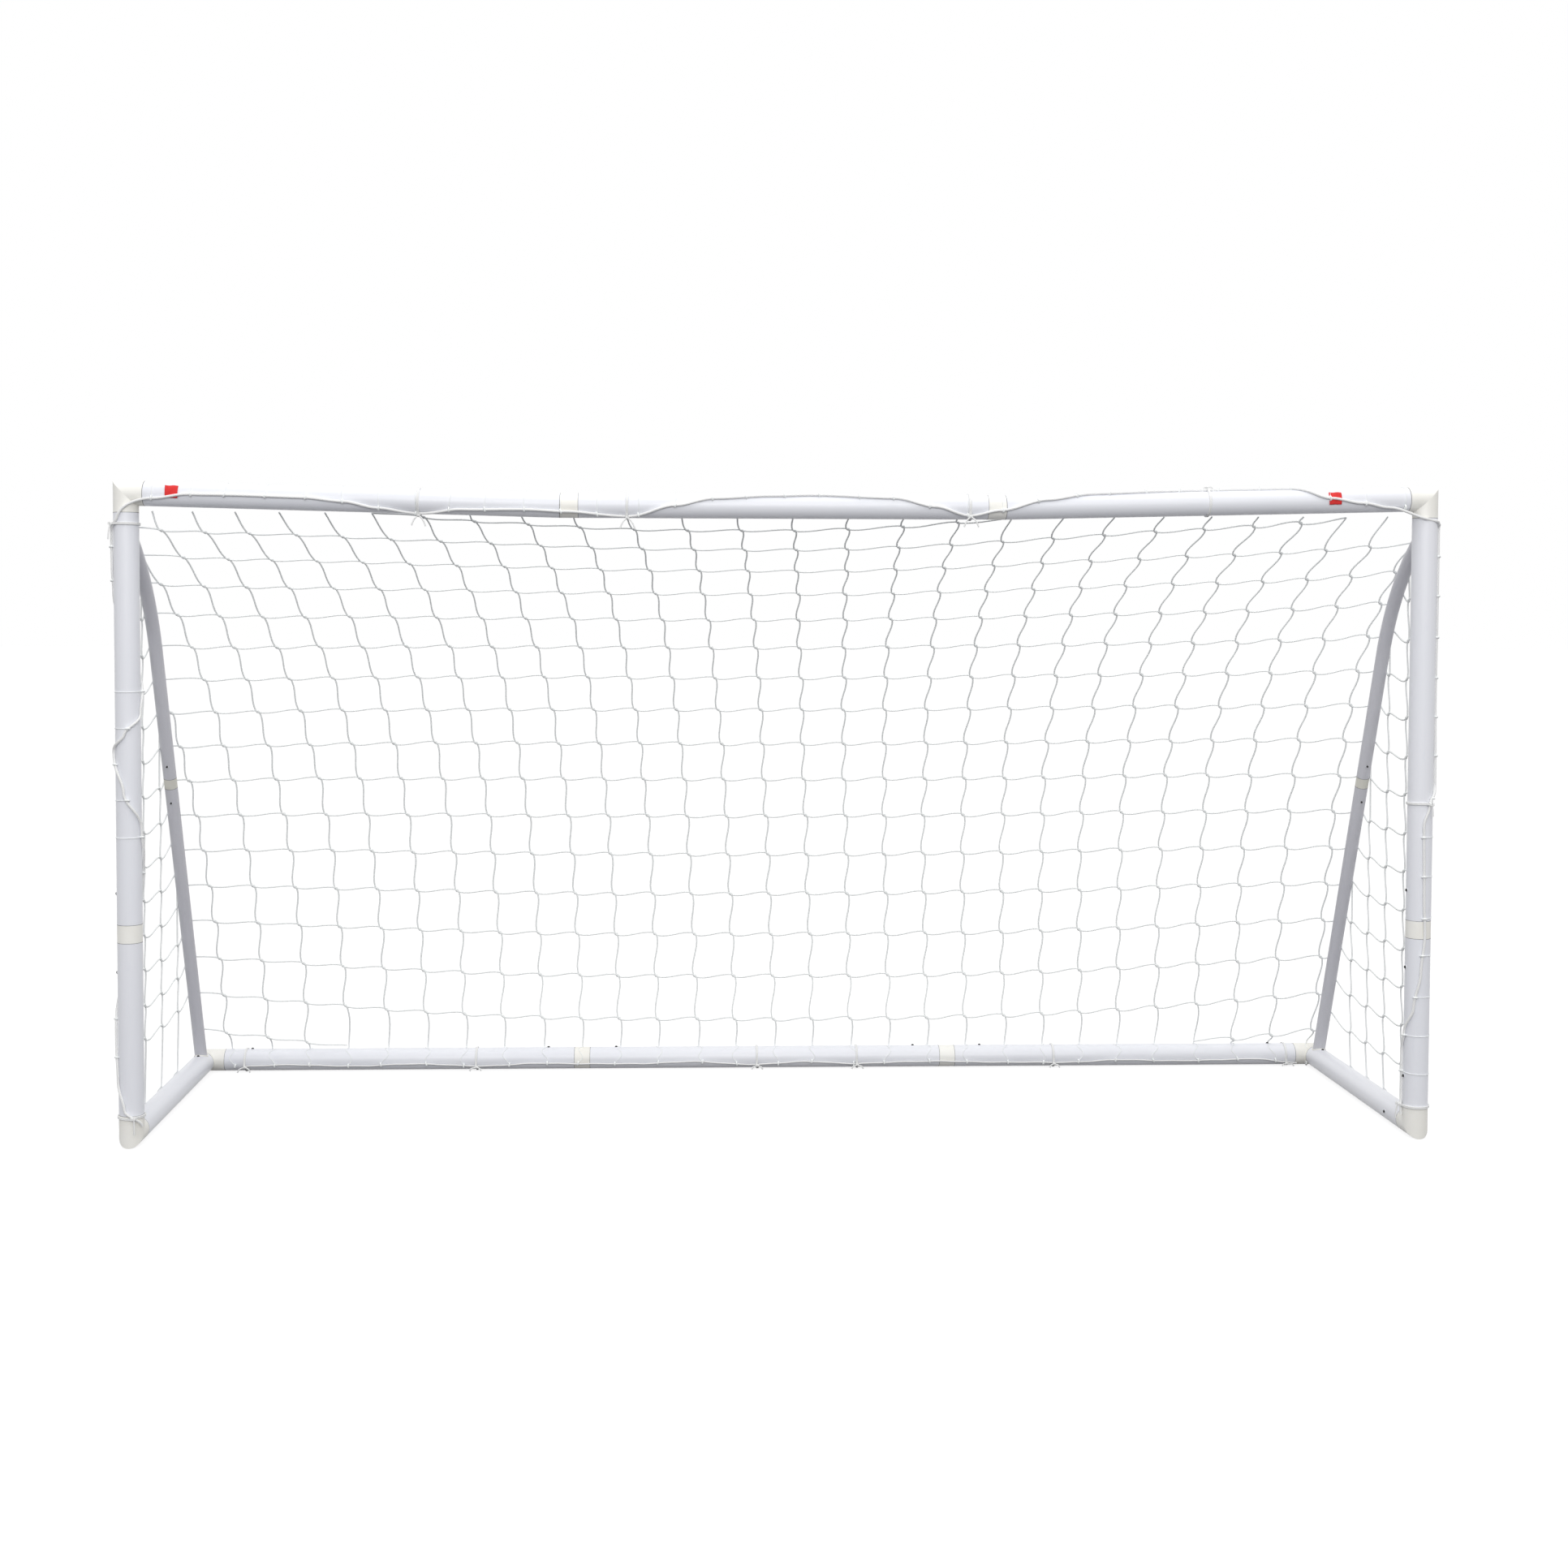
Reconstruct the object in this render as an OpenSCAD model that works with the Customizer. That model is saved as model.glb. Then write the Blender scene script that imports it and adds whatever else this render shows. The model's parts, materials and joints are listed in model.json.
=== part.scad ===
// Full-size garden soccer goal: white push-fit tube frame, snap buttons and a laced net.
// Millimetres, +Z up. The origin is on the ground, half-way across and half-way back;
// the mouth faces -Y and the rear bar lies at +Y.

/* [Overall size] */
// Outer width across the two posts
goal_width = 3660; // [2600:10:5000]
// Outer height at the ends of the crossbar
goal_height = 1830; // [1400:10:2400]
// Outer depth from the posts' front to the rear bar's back
goal_depth = 900; // [700:10:1400]
// How far the middle of the crossbar hangs below its ends
crossbar_sag = 27; // [0:1:40]

/* [Main tubes] */
// Outer diameter of posts, crossbar and ground bars
tube_d = 68; // [55:1:85]
// Wall of those tubes
tube_wall = 2.2; // [1.6:0.1:3.5]
// Radial clearance between a tube and the spigot or hole that it fits
slip_gap = 0.2; // [0.1:0.05:0.4]
// Wall of the moulded fittings
fitting_wall = 3; // [2:0.5:4]
// How deep a spigot reaches into its tube
spigot_len = 105; // [98:1:125]
// Length of a coupler's visible collar
collar_len = 50; // [30:1:70]

/* [Corners] */
// Top corner: from the corner's centre to the end of either leg
top_leg = 52; // [40:1:80]
// Foot corner: length of the upright leg
foot_leg_up = 55; // [40:1:80]
// Foot corner: length of the ground leg
foot_leg_back = 50; // [40:1:80]
// Rear corner: length of the leg towards the rear bar
rear_leg_bar = 65; // [45:1:90]
// Rear corner: length of the leg towards the side bar
rear_leg_side = 40; // [36:1:44]

/* [Couplers] */
// Crossbar and rear-bar couplers: distance from the goal's middle
coupler_x = 590; // [400:5:800]
// Post couplers: height above the ground
post_coupler_z = 591; // [420:1:750]

/* [Stanchions] */
// Outer diameter of the slanting rear braces
stanchion_d = 38; // [30:1:42]
// Wall of the braces
stanchion_wall = 1.8; // [1.2:0.1:2.6]
// Brace foot: distance ahead of the rear bar's axis, at the top of the side bar
foot_inset = 65; // [60:1:68]
// Brace top: distance below the crossbar's axis where it meets the post
stanchion_drop = 112; // [100:1:125]
// Radius of the brace's upper bend
bend_r = 700; // [450:10:900]
// Angle turned by the upper bend
bend_angle = 34.6; // [20:0.1:45]
// Height of the brace's coupler
stanchion_coupler_z = 965; // [700:5:1150]
// Length of that coupler's visible collar
small_collar_len = 32; // [20:1:45]
// How deep that coupler reaches into either tube
small_spigot_len = 60; // [55:1:80]
// Wall of that coupler
small_fitting_wall = 2.4; // [1.8:0.1:3]
// How deep the brace goes into the side bar, and into the post
foot_insert = 42; // [30:1:46]
top_insert = 26; // [15:1:30]

/* [Snap buttons] */
// Button diameter on the main tubes
button_d = 8; // [6:0.5:9]
// Distance of a button from the end of its tube
button_inset = 84; // [75:1:90]
// How far a button stands out of its tube
button_out = 4.5; // [3:0.5:6]
// Rear corner's side leg: distance of its button from the rear bar's axis
rear_side_button = 98; // [97:1:104]
// Button diameter on the braces
small_button_d = 6; // [5:0.5:7]
// Distance of a brace's button from the end of its tube
small_button_inset = 44; // [38:1:48]
// How far a brace's button stands out
small_button_out = 4; // [3:0.5:5]
// Radial clearance round a button
button_gap = 0.08; // [0.05:0.01:0.1]
// Length of a clip's leaf, from the button to its bend, main tubes and braces
leaf_len = 52; // [40:1:60]
small_leaf_len = 36; // [30:1:40]

/* [Net] */
// Thickness of the sheets that stand for the net
net_t = 1; // [0.5:0.5:4]
// Clearance between the net's sheets and the frame
net_gap = 0.5; // [0.3:0.1:2]
// Roof of the net: how far it reaches back and drops before it turns down
roof_back = 415; // [300:5:700]
roof_drop = 236; // [100:2:600]
// Back of the net: how far it billows behind the rear bar, and over what height
billow_back = 80; // [0:5:100]
billow_up = 1083; // [600:1:1300]
// How flat the billow is across the goal
billow_power = 3.3; // [2:0.1:6]

/* [Rope and trims] */
// Border rope
rope_d = 6; // [4:0.5:8]
// Cord of the ties
tie_d = 3; // [2:0.5:4]
// Tag: width, height and thickness
tag_w = 34; // [20:1:50]
tag_h = 30; // [20:1:40]
tag_t = 1; // [0.6:0.1:2]

/* [Hidden] */
$fn = 96;
tube_r = tube_d / 2;
spigot_r = tube_r - tube_wall - slip_gap;
bore_r = spigot_r - fitting_wall;
core_r = bore_r - 1;
stanchion_r = stanchion_d / 2;
small_spigot_r = stanchion_r - stanchion_wall - slip_gap;
small_bore_r = small_spigot_r - small_fitting_wall;
post_x = goal_width / 2 - tube_r;
front_y = -(goal_depth / 2 - tube_r);
rear_y = goal_depth / 2 - tube_r;
top_z = goal_height - tube_r;
bar_z = tube_r;
joint_gap = 0.1;
clip_gap = 0.2;
brace_gap = 3 * slip_gap;
leaf_t = 1;
leaf_w = 8;
pad_r = 3;
UP = [0, 0, 1];
BACK = [0, 1, 0];

function unit(v) = v / norm(v);

// ---- Crossbar line: two outer tubes slope to the level middle tube
function corner_end(s) = [s * (post_x - top_leg), front_y, top_z];
function coupler_end(s) = [s * (coupler_x + collar_len / 2), front_y, top_z - crossbar_sag];
function slope_in(s) = unit(coupler_end(s) - corner_end(s));
slope_gap = tube_r * crossbar_sag / norm(coupler_end(1) - corner_end(1)) + joint_gap;
function crossbar_z(x) = let (outer = post_x - top_leg, inner = coupler_x + collar_len / 2)
    top_z - crossbar_sag * max(0, min(1, (outer - abs(x)) / (outer - inner)));

// ---- Brace line in the plane of a post: a straight run from the foot, then one bend
foot_yz = [rear_y - foot_inset, 2 * tube_r];
head_yz = [front_y + tube_r, top_z - stanchion_drop];
span = head_yz - foot_yz;
bend_side = bend_r * (1 - cos(bend_angle));
straight_len = sqrt(span * span - bend_side * bend_side) - bend_r * sin(bend_angle);
lean = atan2(-span.x, span.y) - asin(bend_side / norm(span));
head_lean = lean + bend_angle;
lean_dir = [-sin(lean), cos(lean)];
bend_yz = foot_yz + straight_len * lean_dir;
bend_arc = bend_r * bend_angle * PI / 180;
coupler_t = (stanchion_coupler_z - foot_yz.y) / cos(lean);
function bend_point(a, off) = bend_yz
    + [-bend_r * (cos(lean) - cos(lean + a)), bend_r * (sin(lean + a) - sin(lean))]
    + off * [cos(lean + a), sin(lean + a)];
function brace_point(t, off) = t <= straight_len
    ? foot_yz + t * lean_dir + off * [cos(lean), sin(lean)]
    : bend_point((t - straight_len) / bend_arc * bend_angle, off);
function in_plane(s, yz) = [s * post_x, yz.x, yz.y];

// ---- Snap buttons: [node, point on the tube's axis, outward, towards the open end, small]
function post_button(side, s, name, z, open) =
    [str("button_", side, "_", name), [s * post_x, front_y, z], [-1, 0, 0], [0, 0, open], false];
function side_buttons(side, s) = let (
    low = post_coupler_z - collar_len / 2, high = post_coupler_z + collar_len / 2,
    crossbar_in = coupler_x - collar_len / 2, bar_out = coupler_x + collar_len / 2,
    small_low = coupler_t - small_collar_len / 2, small_high = coupler_t + small_collar_len / 2,
    brace = [0, lean_dir.x, lean_dir.y], brace_out = [0, -cos(lean), -sin(lean)],
    hidden = unit([s * 0.87, 0.5, 0]))
[
    post_button(side, s, "post_foot", bar_z + foot_leg_up + button_inset, 1),
    post_button(side, s, "post_lower", low - button_inset, -1),
    post_button(side, s, "post_upper", high + button_inset, 1),
    [str("button_", side, "_post_top"), [s * post_x, front_y, top_z - top_leg - button_inset],
        hidden, -UP, false],
    [str("button_", side, "_side_front"), [s * post_x, front_y + foot_leg_back + button_inset, bar_z],
        [-1, 0, 0], BACK, false],
    [str("button_", side, "_side_rear"), [s * post_x, rear_y - rear_side_button, bar_z],
        UP, -BACK, false],
    [str("button_", side, "_rear_corner"), [s * (post_x - rear_leg_bar - button_inset), rear_y, bar_z],
        UP, [-s, 0, 0], false],
    [str("button_", side, "_rear_outer"), [s * (bar_out + button_inset), rear_y, bar_z],
        UP, [s, 0, 0], false],
    [str("button_", side, "_rear_inner"), [s * (crossbar_in - button_inset), rear_y, bar_z],
        UP, [-s, 0, 0], false],
    [str("button_", side, "_crossbar_corner"), corner_end(s) + button_inset * slope_in(s),
        BACK, slope_in(s), false],
    [str("button_", side, "_crossbar_outer"), coupler_end(s) - button_inset * slope_in(s),
        BACK, -slope_in(s), false],
    [str("button_", side, "_crossbar_inner"),
        [s * (crossbar_in - button_inset), front_y, top_z - crossbar_sag], BACK, [-s, 0, 0], false],
    [str("button_", side, "_stanchion_lower"),
        in_plane(s, brace_point(small_low - small_button_inset, 0)), brace_out, -brace, true],
    [str("button_", side, "_stanchion_upper"),
        in_plane(s, brace_point(small_high + small_button_inset, 0)), brace_out, brace, true]
];
BUTTONS = concat(side_buttons("left", -1), side_buttons("right", 1));

function on_segment(p, a, b) = let (
    d = b - a, t = max(0, min(1, (p - a) * d / (d * d)))) norm(p - a - t * d) < 1;

// ---- Basic shapes
// Puts a child that is drawn along +Z from the origin at p, pointing along d
module point_along(p, d) {
    translate(p) rotate([0, acos(d.z / norm(d)), atan2(d.y, d.x)]) children();
}

module rod(a, b, r) {
    point_along(a, b - a) cylinder(r = r, h = norm(b - a));
}

module pipe(a, b, r, wall) {
    difference() {
        rod(a, b, r);
        rod(a - unit(b - a), b + unit(b - a), r - wall);
    }
}

// Sets a child drawn with +Z outwards and +X towards the tube's open end at a button
module at_button(b) {
    z = b[2];
    x = b[3];
    y = cross(z, x);
    multmatrix([[x.x, y.x, z.x, b[1].x], [x.y, y.y, z.y, b[1].y], [x.z, y.z, z.z, b[1].z]])
        children();
}

module button_holes(a, b) {
    for (button = BUTTONS)
        if (on_segment(button[1], a, b))
            at_button(button)
                cylinder(r = (button[4] ? small_button_d : button_d) / 2 + button_gap, h = tube_d);
}

// A main tube from a to b, with the holes of the buttons that lie along it
module main_tube(a, b) {
    color("white") difference() {
        pipe(a, b, tube_r, tube_wall);
        button_holes(a, b);
    }
}

// Half of a mitred elbow: a leg along +X, cut where it meets the leg along +Z
module elbow_half(len, r) {
    intersection() {
        translate([-r, 0, 0]) rotate([0, 90, 0]) cylinder(r = r, h = len + r);
        rotate([0, 45, 0]) translate([0, -2 * len, -2 * len]) cube(4 * len);
    }
}

module elbow(len_x, len_z, r) {
    elbow_half(len_x, r);
    mirror([1, 0, -1]) elbow_half(len_z, r);
}

// A moulded corner with legs along +X and +Z; its +X spigot tips towards spigot_dir
module corner_fitting(len_x, len_z, spigot_dir) {
    x_end = [len_x, 0, 0];
    z_end = [0, 0, len_z];
    root = 3;
    difference() {
        union() {
            elbow(len_x, len_z, tube_r);
            rod(x_end - root * spigot_dir, x_end + spigot_len * spigot_dir, spigot_r);
            rod(z_end - root * UP, z_end + spigot_len * UP, spigot_r);
        }
        elbow(len_x, len_z, core_r);
        rod(x_end - root * spigot_dir, x_end + (spigot_len + 1) * spigot_dir, bore_r);
        rod(z_end - root * UP, z_end + (spigot_len + 1) * UP, bore_r);
    }
}

// ---- Crossbar
module crossbar_outer_tube(s) {
    main_tube(corner_end(s) + slope_gap * slope_in(s), coupler_end(s) - slope_gap * slope_in(s));
}

module crossbar_tube_left() { crossbar_outer_tube(-1); }
module crossbar_tube_right() { crossbar_outer_tube(1); }

module crossbar_tube_middle() {
    reach = coupler_x - collar_len / 2;
    z = top_z - crossbar_sag;
    main_tube([-reach, front_y, z], [reach, front_y, z]);
}

// A 3-step coupler: collar, and a spigot at either end; out_dir is the outer spigot's direction
module coupler(inner_end, outer_end, out_dir) {
    in_dir = unit(inner_end - outer_end);
    root = 3;
    difference() {
        union() {
            rod(inner_end, outer_end, tube_r);
            rod(inner_end - root * in_dir, inner_end + spigot_len * in_dir, spigot_r);
            rod(outer_end - root * out_dir, outer_end + spigot_len * out_dir, spigot_r);
        }
        rod(inner_end - root * in_dir, inner_end + (spigot_len + 1) * in_dir, bore_r);
        rod(inner_end + in_dir, outer_end - in_dir, core_r);
        rod(outer_end - root * out_dir, outer_end + (spigot_len + 1) * out_dir, bore_r);
        button_holes(inner_end, inner_end + spigot_len * in_dir);
        button_holes(outer_end, outer_end + spigot_len * out_dir);
    }
}

module crossbar_couplers() {
    color("ivory") for (s = [-1, 1])
        coupler([s * (coupler_x - collar_len / 2), front_y, top_z - crossbar_sag],
            coupler_end(s), -slope_in(s));
}

// ---- Posts
module post_lower_tube(s) {
    main_tube([s * post_x, front_y, bar_z + foot_leg_up],
        [s * post_x, front_y, post_coupler_z - collar_len / 2]);
}

module post_upper_tube(s) {
    color("white") difference() {
        main_tube([s * post_x, front_y, post_coupler_z + collar_len / 2],
            [s * post_x, front_y, top_z - top_leg]);
        stanchion_hole_top(s);
    }
}

module left_post_lower_tube() { post_lower_tube(-1); }
module right_post_lower_tube() { post_lower_tube(1); }
module left_post_upper_tube() { post_upper_tube(-1); }
module right_post_upper_tube() { post_upper_tube(1); }

module post_couplers() {
    color("ivory") for (s = [-1, 1])
        coupler([s * post_x, front_y, post_coupler_z - collar_len / 2],
            [s * post_x, front_y, post_coupler_z + collar_len / 2], UP);
}

// ---- Corners
module top_corner(s) {
    corner = [s * post_x, front_y, top_z];
    color("ivory") difference() {
        translate(corner) mirror([s > 0 ? 1 : 0, 0, 0]) mirror([0, 0, 1])
            corner_fitting(top_leg, top_leg, [slope_in(-1).x, 0, -slope_in(-1).z]);
        button_holes(corner_end(s), corner_end(s) + spigot_len * slope_in(s));
        button_holes(corner, corner - (top_leg + spigot_len) * UP);
        stanchion_hole_top(s);
    }
}

module left_top_corner() { top_corner(-1); }
module right_top_corner() { top_corner(1); }

module foot_corner(s) {
    corner = [s * post_x, front_y, bar_z];
    color("ivory") difference() {
        translate(corner) rotate([0, 0, 90]) corner_fitting(foot_leg_back, foot_leg_up, [1, 0, 0]);
        button_holes(corner, corner + (foot_leg_back + spigot_len) * BACK);
        button_holes(corner, corner + (foot_leg_up + spigot_len) * UP);
    }
}

module left_foot_corner() { foot_corner(-1); }
module right_foot_corner() { foot_corner(1); }

module rear_corner(s) {
    corner = [s * post_x, rear_y, bar_z];
    inward = [-s, 0, 0];
    color("ivory") difference() {
        translate(corner) mirror([s > 0 ? 1 : 0, 0, 0]) rotate([90, 0, 0])
            corner_fitting(rear_leg_bar, rear_leg_side, [1, 0, 0]);
        button_holes(corner, corner - (rear_leg_side + spigot_len) * BACK);
        button_holes(corner, corner + (rear_leg_bar + spigot_len) * inward);
        stanchion_hole_foot(s);
    }
}

module left_rear_corner() { rear_corner(-1); }
module right_rear_corner() { rear_corner(1); }

// ---- Ground bars
module side_bar(s) {
    color("white") difference() {
        main_tube([s * post_x, front_y + foot_leg_back, bar_z],
            [s * post_x, rear_y - rear_leg_side, bar_z]);
        stanchion_hole_foot(s);
    }
}

module left_side_bar() { side_bar(-1); }
module right_side_bar() { side_bar(1); }

module rear_outer_tube(s) {
    main_tube([s * (coupler_x + collar_len / 2), rear_y, bar_z],
        [s * (post_x - rear_leg_bar), rear_y, bar_z]);
}

module rear_bar_tube_left() { rear_outer_tube(-1); }
module rear_bar_tube_right() { rear_outer_tube(1); }

module rear_bar_tube_middle() {
    reach = coupler_x - collar_len / 2;
    main_tube([-reach, rear_y, bar_z], [reach, rear_y, bar_z]);
}

module rear_bar_couplers() {
    color("ivory") for (s = [-1, 1])
        coupler([s * (coupler_x - collar_len / 2), rear_y, bar_z],
            [s * (coupler_x + collar_len / 2), rear_y, bar_z], [s, 0, 0]);
}

// ---- Stanchions
module stanchion_run(s, t0, t1, r) {
    rod(in_plane(s, brace_point(t0, 0)), in_plane(s, brace_point(t1, 0)), r);
}

// The bent upper tube, drawn about the bend's centre; its bend runs on into the post
module bent_tube(s) {
    centre = bend_yz - bend_r * [cos(lean), sin(lean)];
    run = straight_len - coupler_t - small_collar_len / 2;
    translate([s * post_x, centre.x, centre.y]) rotate([90, 0, 90]) rotate([0, 0, lean]) {
        rotate_extrude(angle = bend_angle + top_insert / bend_r * 180 / PI)
            translate([bend_r, 0]) difference() {
                circle(r = stanchion_r);
                circle(r = stanchion_r - stanchion_wall);
            }
        translate([bend_r, 0, 0]) rotate([90, 0, 0]) difference() {
            cylinder(r = stanchion_r, h = run);
            translate([0, 0, -1]) cylinder(r = stanchion_r - stanchion_wall, h = run + 2);
        }
    }
}

module stanchion_hole_top(s) {
    head = in_plane(s, bend_point(bend_angle, 0));
    dir = [0, -sin(head_lean), cos(head_lean)];
    rod(head - tube_r * dir, head + (top_insert + 1) * dir, stanchion_r + brace_gap);
}

module stanchion_hole_foot(s) {
    foot = in_plane(s, foot_yz);
    dir = [0, lean_dir.x, lean_dir.y];
    rod(foot - (foot_insert + 1) * dir, foot + tube_r * dir, stanchion_r + brace_gap);
}

module stanchion_lower(s) {
    top_t = coupler_t - small_collar_len / 2;
    a = in_plane(s, brace_point(-foot_insert, 0));
    b = in_plane(s, brace_point(top_t, 0));
    color("white") difference() {
        pipe(a, b, stanchion_r, stanchion_wall);
        button_holes(a, b);
    }
}

module stanchion_upper(s) {
    low = in_plane(s, brace_point(coupler_t + small_collar_len / 2, 0));
    color("white") difference() {
        bent_tube(s);
        button_holes(low, in_plane(s, brace_point(straight_len, 0)));
    }
}

module left_stanchion_lower() { stanchion_lower(-1); }
module right_stanchion_lower() { stanchion_lower(1); }
module left_stanchion_upper() { stanchion_upper(-1); }
module right_stanchion_upper() { stanchion_upper(1); }

module stanchion_couplers() {
    low_t = coupler_t - small_collar_len / 2;
    high_t = coupler_t + small_collar_len / 2;
    color("ivory") for (s = [-1, 1]) difference() {
        union() {
            stanchion_run(s, low_t, high_t, stanchion_r);
            stanchion_run(s, low_t - small_spigot_len, high_t + small_spigot_len, small_spigot_r);
        }
        stanchion_run(s, low_t - small_spigot_len - 1, high_t + small_spigot_len + 1, small_bore_r);
        button_holes(in_plane(s, brace_point(low_t - small_spigot_len, 0)),
            in_plane(s, brace_point(high_t + small_spigot_len, 0)));
    }
}

// ---- Snap buttons and their spring clips
// The button with its flange and leaf, pressed inwards against the clip's bend
module snap_button(b) {
    small = b[4];
    r = (small ? small_button_d : button_d) / 2;
    wall_r = small ? small_bore_r : bore_r;
    top = small ? stanchion_r + small_button_out : tube_r + button_out;
    flange_r = r + 1.5;
    flange_z = sqrt(wall_r * wall_r - flange_r * flange_r) - clip_gap / 2;
    dome_r = r * 1.4;
    len = small ? small_leaf_len : leaf_len;
    bend = small ? 3 : 4;
    leaf_z = flange_z - leaf_t;
    drop = atan((leaf_z - bend) / len);
    color("black") at_button(b) {
        intersection() {
            cylinder(r = r, h = top);
            translate([0, 0, top - dome_r]) sphere(r = dome_r);
        }
        translate([0, 0, leaf_z - leaf_t]) cylinder(r = r, h = top - dome_r - leaf_z + leaf_t);
        translate([0, 0, leaf_z - leaf_t]) cylinder(r = flange_r, h = 2 * leaf_t);
        translate([0, -leaf_w / 2, leaf_z]) rotate([0, drop, 0])
            translate([0, 0, -leaf_t]) cube([len * 0.72, leaf_w, leaf_t]);
    }
}

// The still part of a clip: its bend, lower leaf and the pad that bears on the far wall
module clip_spring(b) {
    small = b[4];
    wall_r = small ? small_bore_r : bore_r;
    len = small ? small_leaf_len : leaf_len;
    bend = small ? 3 : 4;
    bite = 0.5;
    pad_z = sqrt(wall_r * wall_r - pad_r * pad_r) - clip_gap;
    leaf_z = pad_z - leaf_t;
    at_button(b) {
        translate([0, 0, -pad_z]) cylinder(r = pad_r, h = 2.5 * leaf_t);
        translate([0, leaf_w / 2, 0]) rotate([90, 0, 0]) linear_extrude(leaf_w) {
            polygon([[0, -leaf_z], [len + bite, -bend], [len + bite, leaf_t - bend],
                [0, leaf_t - leaf_z]]);
            difference() {
                translate([len, 0]) circle(r = bend);
                translate([len, 0]) circle(r = bend - leaf_t);
                translate([len - 2 * bend, -2 * bend]) square([2 * bend, 4 * bend]);
            }
        }
    }
}

module clip_springs() {
    color("silver") for (b = BUTTONS) clip_spring(b);
}

// ---- Net: one billowing sheet behind the braces, and a flat sheet at either side
net_off = stanchion_r + net_gap + net_t / 2 + 0.6;
net_edge_x = post_x + stanchion_r + net_gap;
net_foot = [rear_y - 10, 2 * (tube_r + net_gap)];
side_off = stanchion_r + 2 * net_gap;
side_inset = sqrt(tube_r * tube_r - side_off * side_off) + net_gap;
NET_ROWS = 26;
NET_COLS = 12;

function line_length(p, i = 1) = i >= len(p) ? 0 : norm(p[i] - p[i - 1]) + line_length(p, i + 1);
// The point at distance d along the open line p
function along_line(p, d, i = 1) = let (step = norm(p[i] - p[i - 1]))
    (d <= step || i == len(p) - 1)
        ? p[i - 1] + (p[i] - p[i - 1]) * min(1, d / step)
        : along_line(p, d - step, i + 1);
function bezier(a, b, c, d, t) =
    pow(1 - t, 3) * a + 3 * pow(1 - t, 2) * t * b + 3 * (1 - t) * t * t * c + t * t * t * d;

edge_line = concat(
    [[front_y + tube_r + net_gap + net_t, top_z - tube_r]],
    [for (k = [0:12]) bend_point(bend_angle * (1 - k / 12), net_off)],
    [brace_point(0, net_off), net_foot]);
function middle_line(z) = let (start = [front_y + tube_r + net_gap + net_t, z])
    [for (k = [0:24]) bezier(start, [start.x + roof_back, top_z - roof_drop],
        [net_foot.x + billow_back, net_foot.y + billow_up], net_foot, k / 24)];
edge_len = line_length(edge_line);
roof_line = middle_line(top_z - crossbar_sag - tube_r / 2);
roof_len = line_length(roof_line);

// The net's mid surface: u from -1 to 1 across, v from 0 at the crossbar to 1 at the rear bar
function net_point(u, v) = let (
    edge = along_line(edge_line, v * edge_len), middle = along_line(roof_line, v * roof_len),
    share = 1 - pow(abs(u), billow_power), yz = edge + (middle - edge) * share)
    [u * net_edge_x, yz.x, yz.y];

// Points of one half's skin; the halves meet at the middle, a joint's gap apart
function net_grid(side, off) = [for (i = [0:NET_ROWS]) for (j = [0:NET_COLS]) let (
    inner = joint_gap / net_edge_x, far = inner + (1 - inner) * j / NET_COLS,
    u = side < 0 ? -(inner + 1 - far) : far, v = i / NET_ROWS, e = 0.004,
    du = net_point(u + e, v) - net_point(u - e, v),
    dv = net_point(u, min(1, v + e)) - net_point(u, max(0, v - e)),
    n = unit(cross(dv, du)))
    net_point(u, v) + off * n];

module net_half(side) {
    n = (NET_ROWS + 1) * (NET_COLS + 1);
    wide = NET_COLS + 1;
    function quad(a, b, c, d) = [[a, b, c], [a, c, d]];
    skins = [for (i = [0:NET_ROWS - 1]) for (j = [0:NET_COLS - 1]) let (a = i * wide + j)
        each concat(quad(a, a + wide, a + wide + 1, a + 1),
            quad(n + a, n + a + 1, n + a + wide + 1, n + a + wide))];
    sides = [for (i = [0:NET_ROWS - 1]) let (a = i * wide, b = a + NET_COLS)
        each concat(quad(a, n + a, n + a + wide, a + wide), quad(b, b + wide, n + b + wide, n + b))];
    ends = [for (j = [0:NET_COLS - 1]) let (b = NET_ROWS * wide + j)
        each concat(quad(j, j + 1, n + j + 1, n + j), quad(b, n + b, n + b + 1, b + 1))];
    color("lightgray") polyhedron(concat(net_grid(side, net_t / 2), net_grid(side, -net_t / 2)),
        concat(skins, sides, ends));
}

module net_back_left() { net_half(-1); }
module net_back_right() { net_half(1); }

// The left sheet is notched where the border rope passes behind the post
module net_sides() {
    outline = concat(
        [[front_y + side_inset, bar_z + side_inset], [front_y + side_inset, top_z - tube_r]],
        edge_line, [[net_foot.x, bar_z + side_inset]]);
    color("lightgray") for (s = [-1, 1])
        translate([s * (post_x + side_off + net_t / 2) - net_t / 2, 0, 0])
            rotate([90, 0, 90]) linear_extrude(net_t) difference() {
                polygon(outline);
                if (s < 0)
                    for (z = NOTCH_Z)
                        translate([front_y, z - notch_h / 2]) square([wrap_off + rope_d, notch_h]);
            }
}

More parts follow.
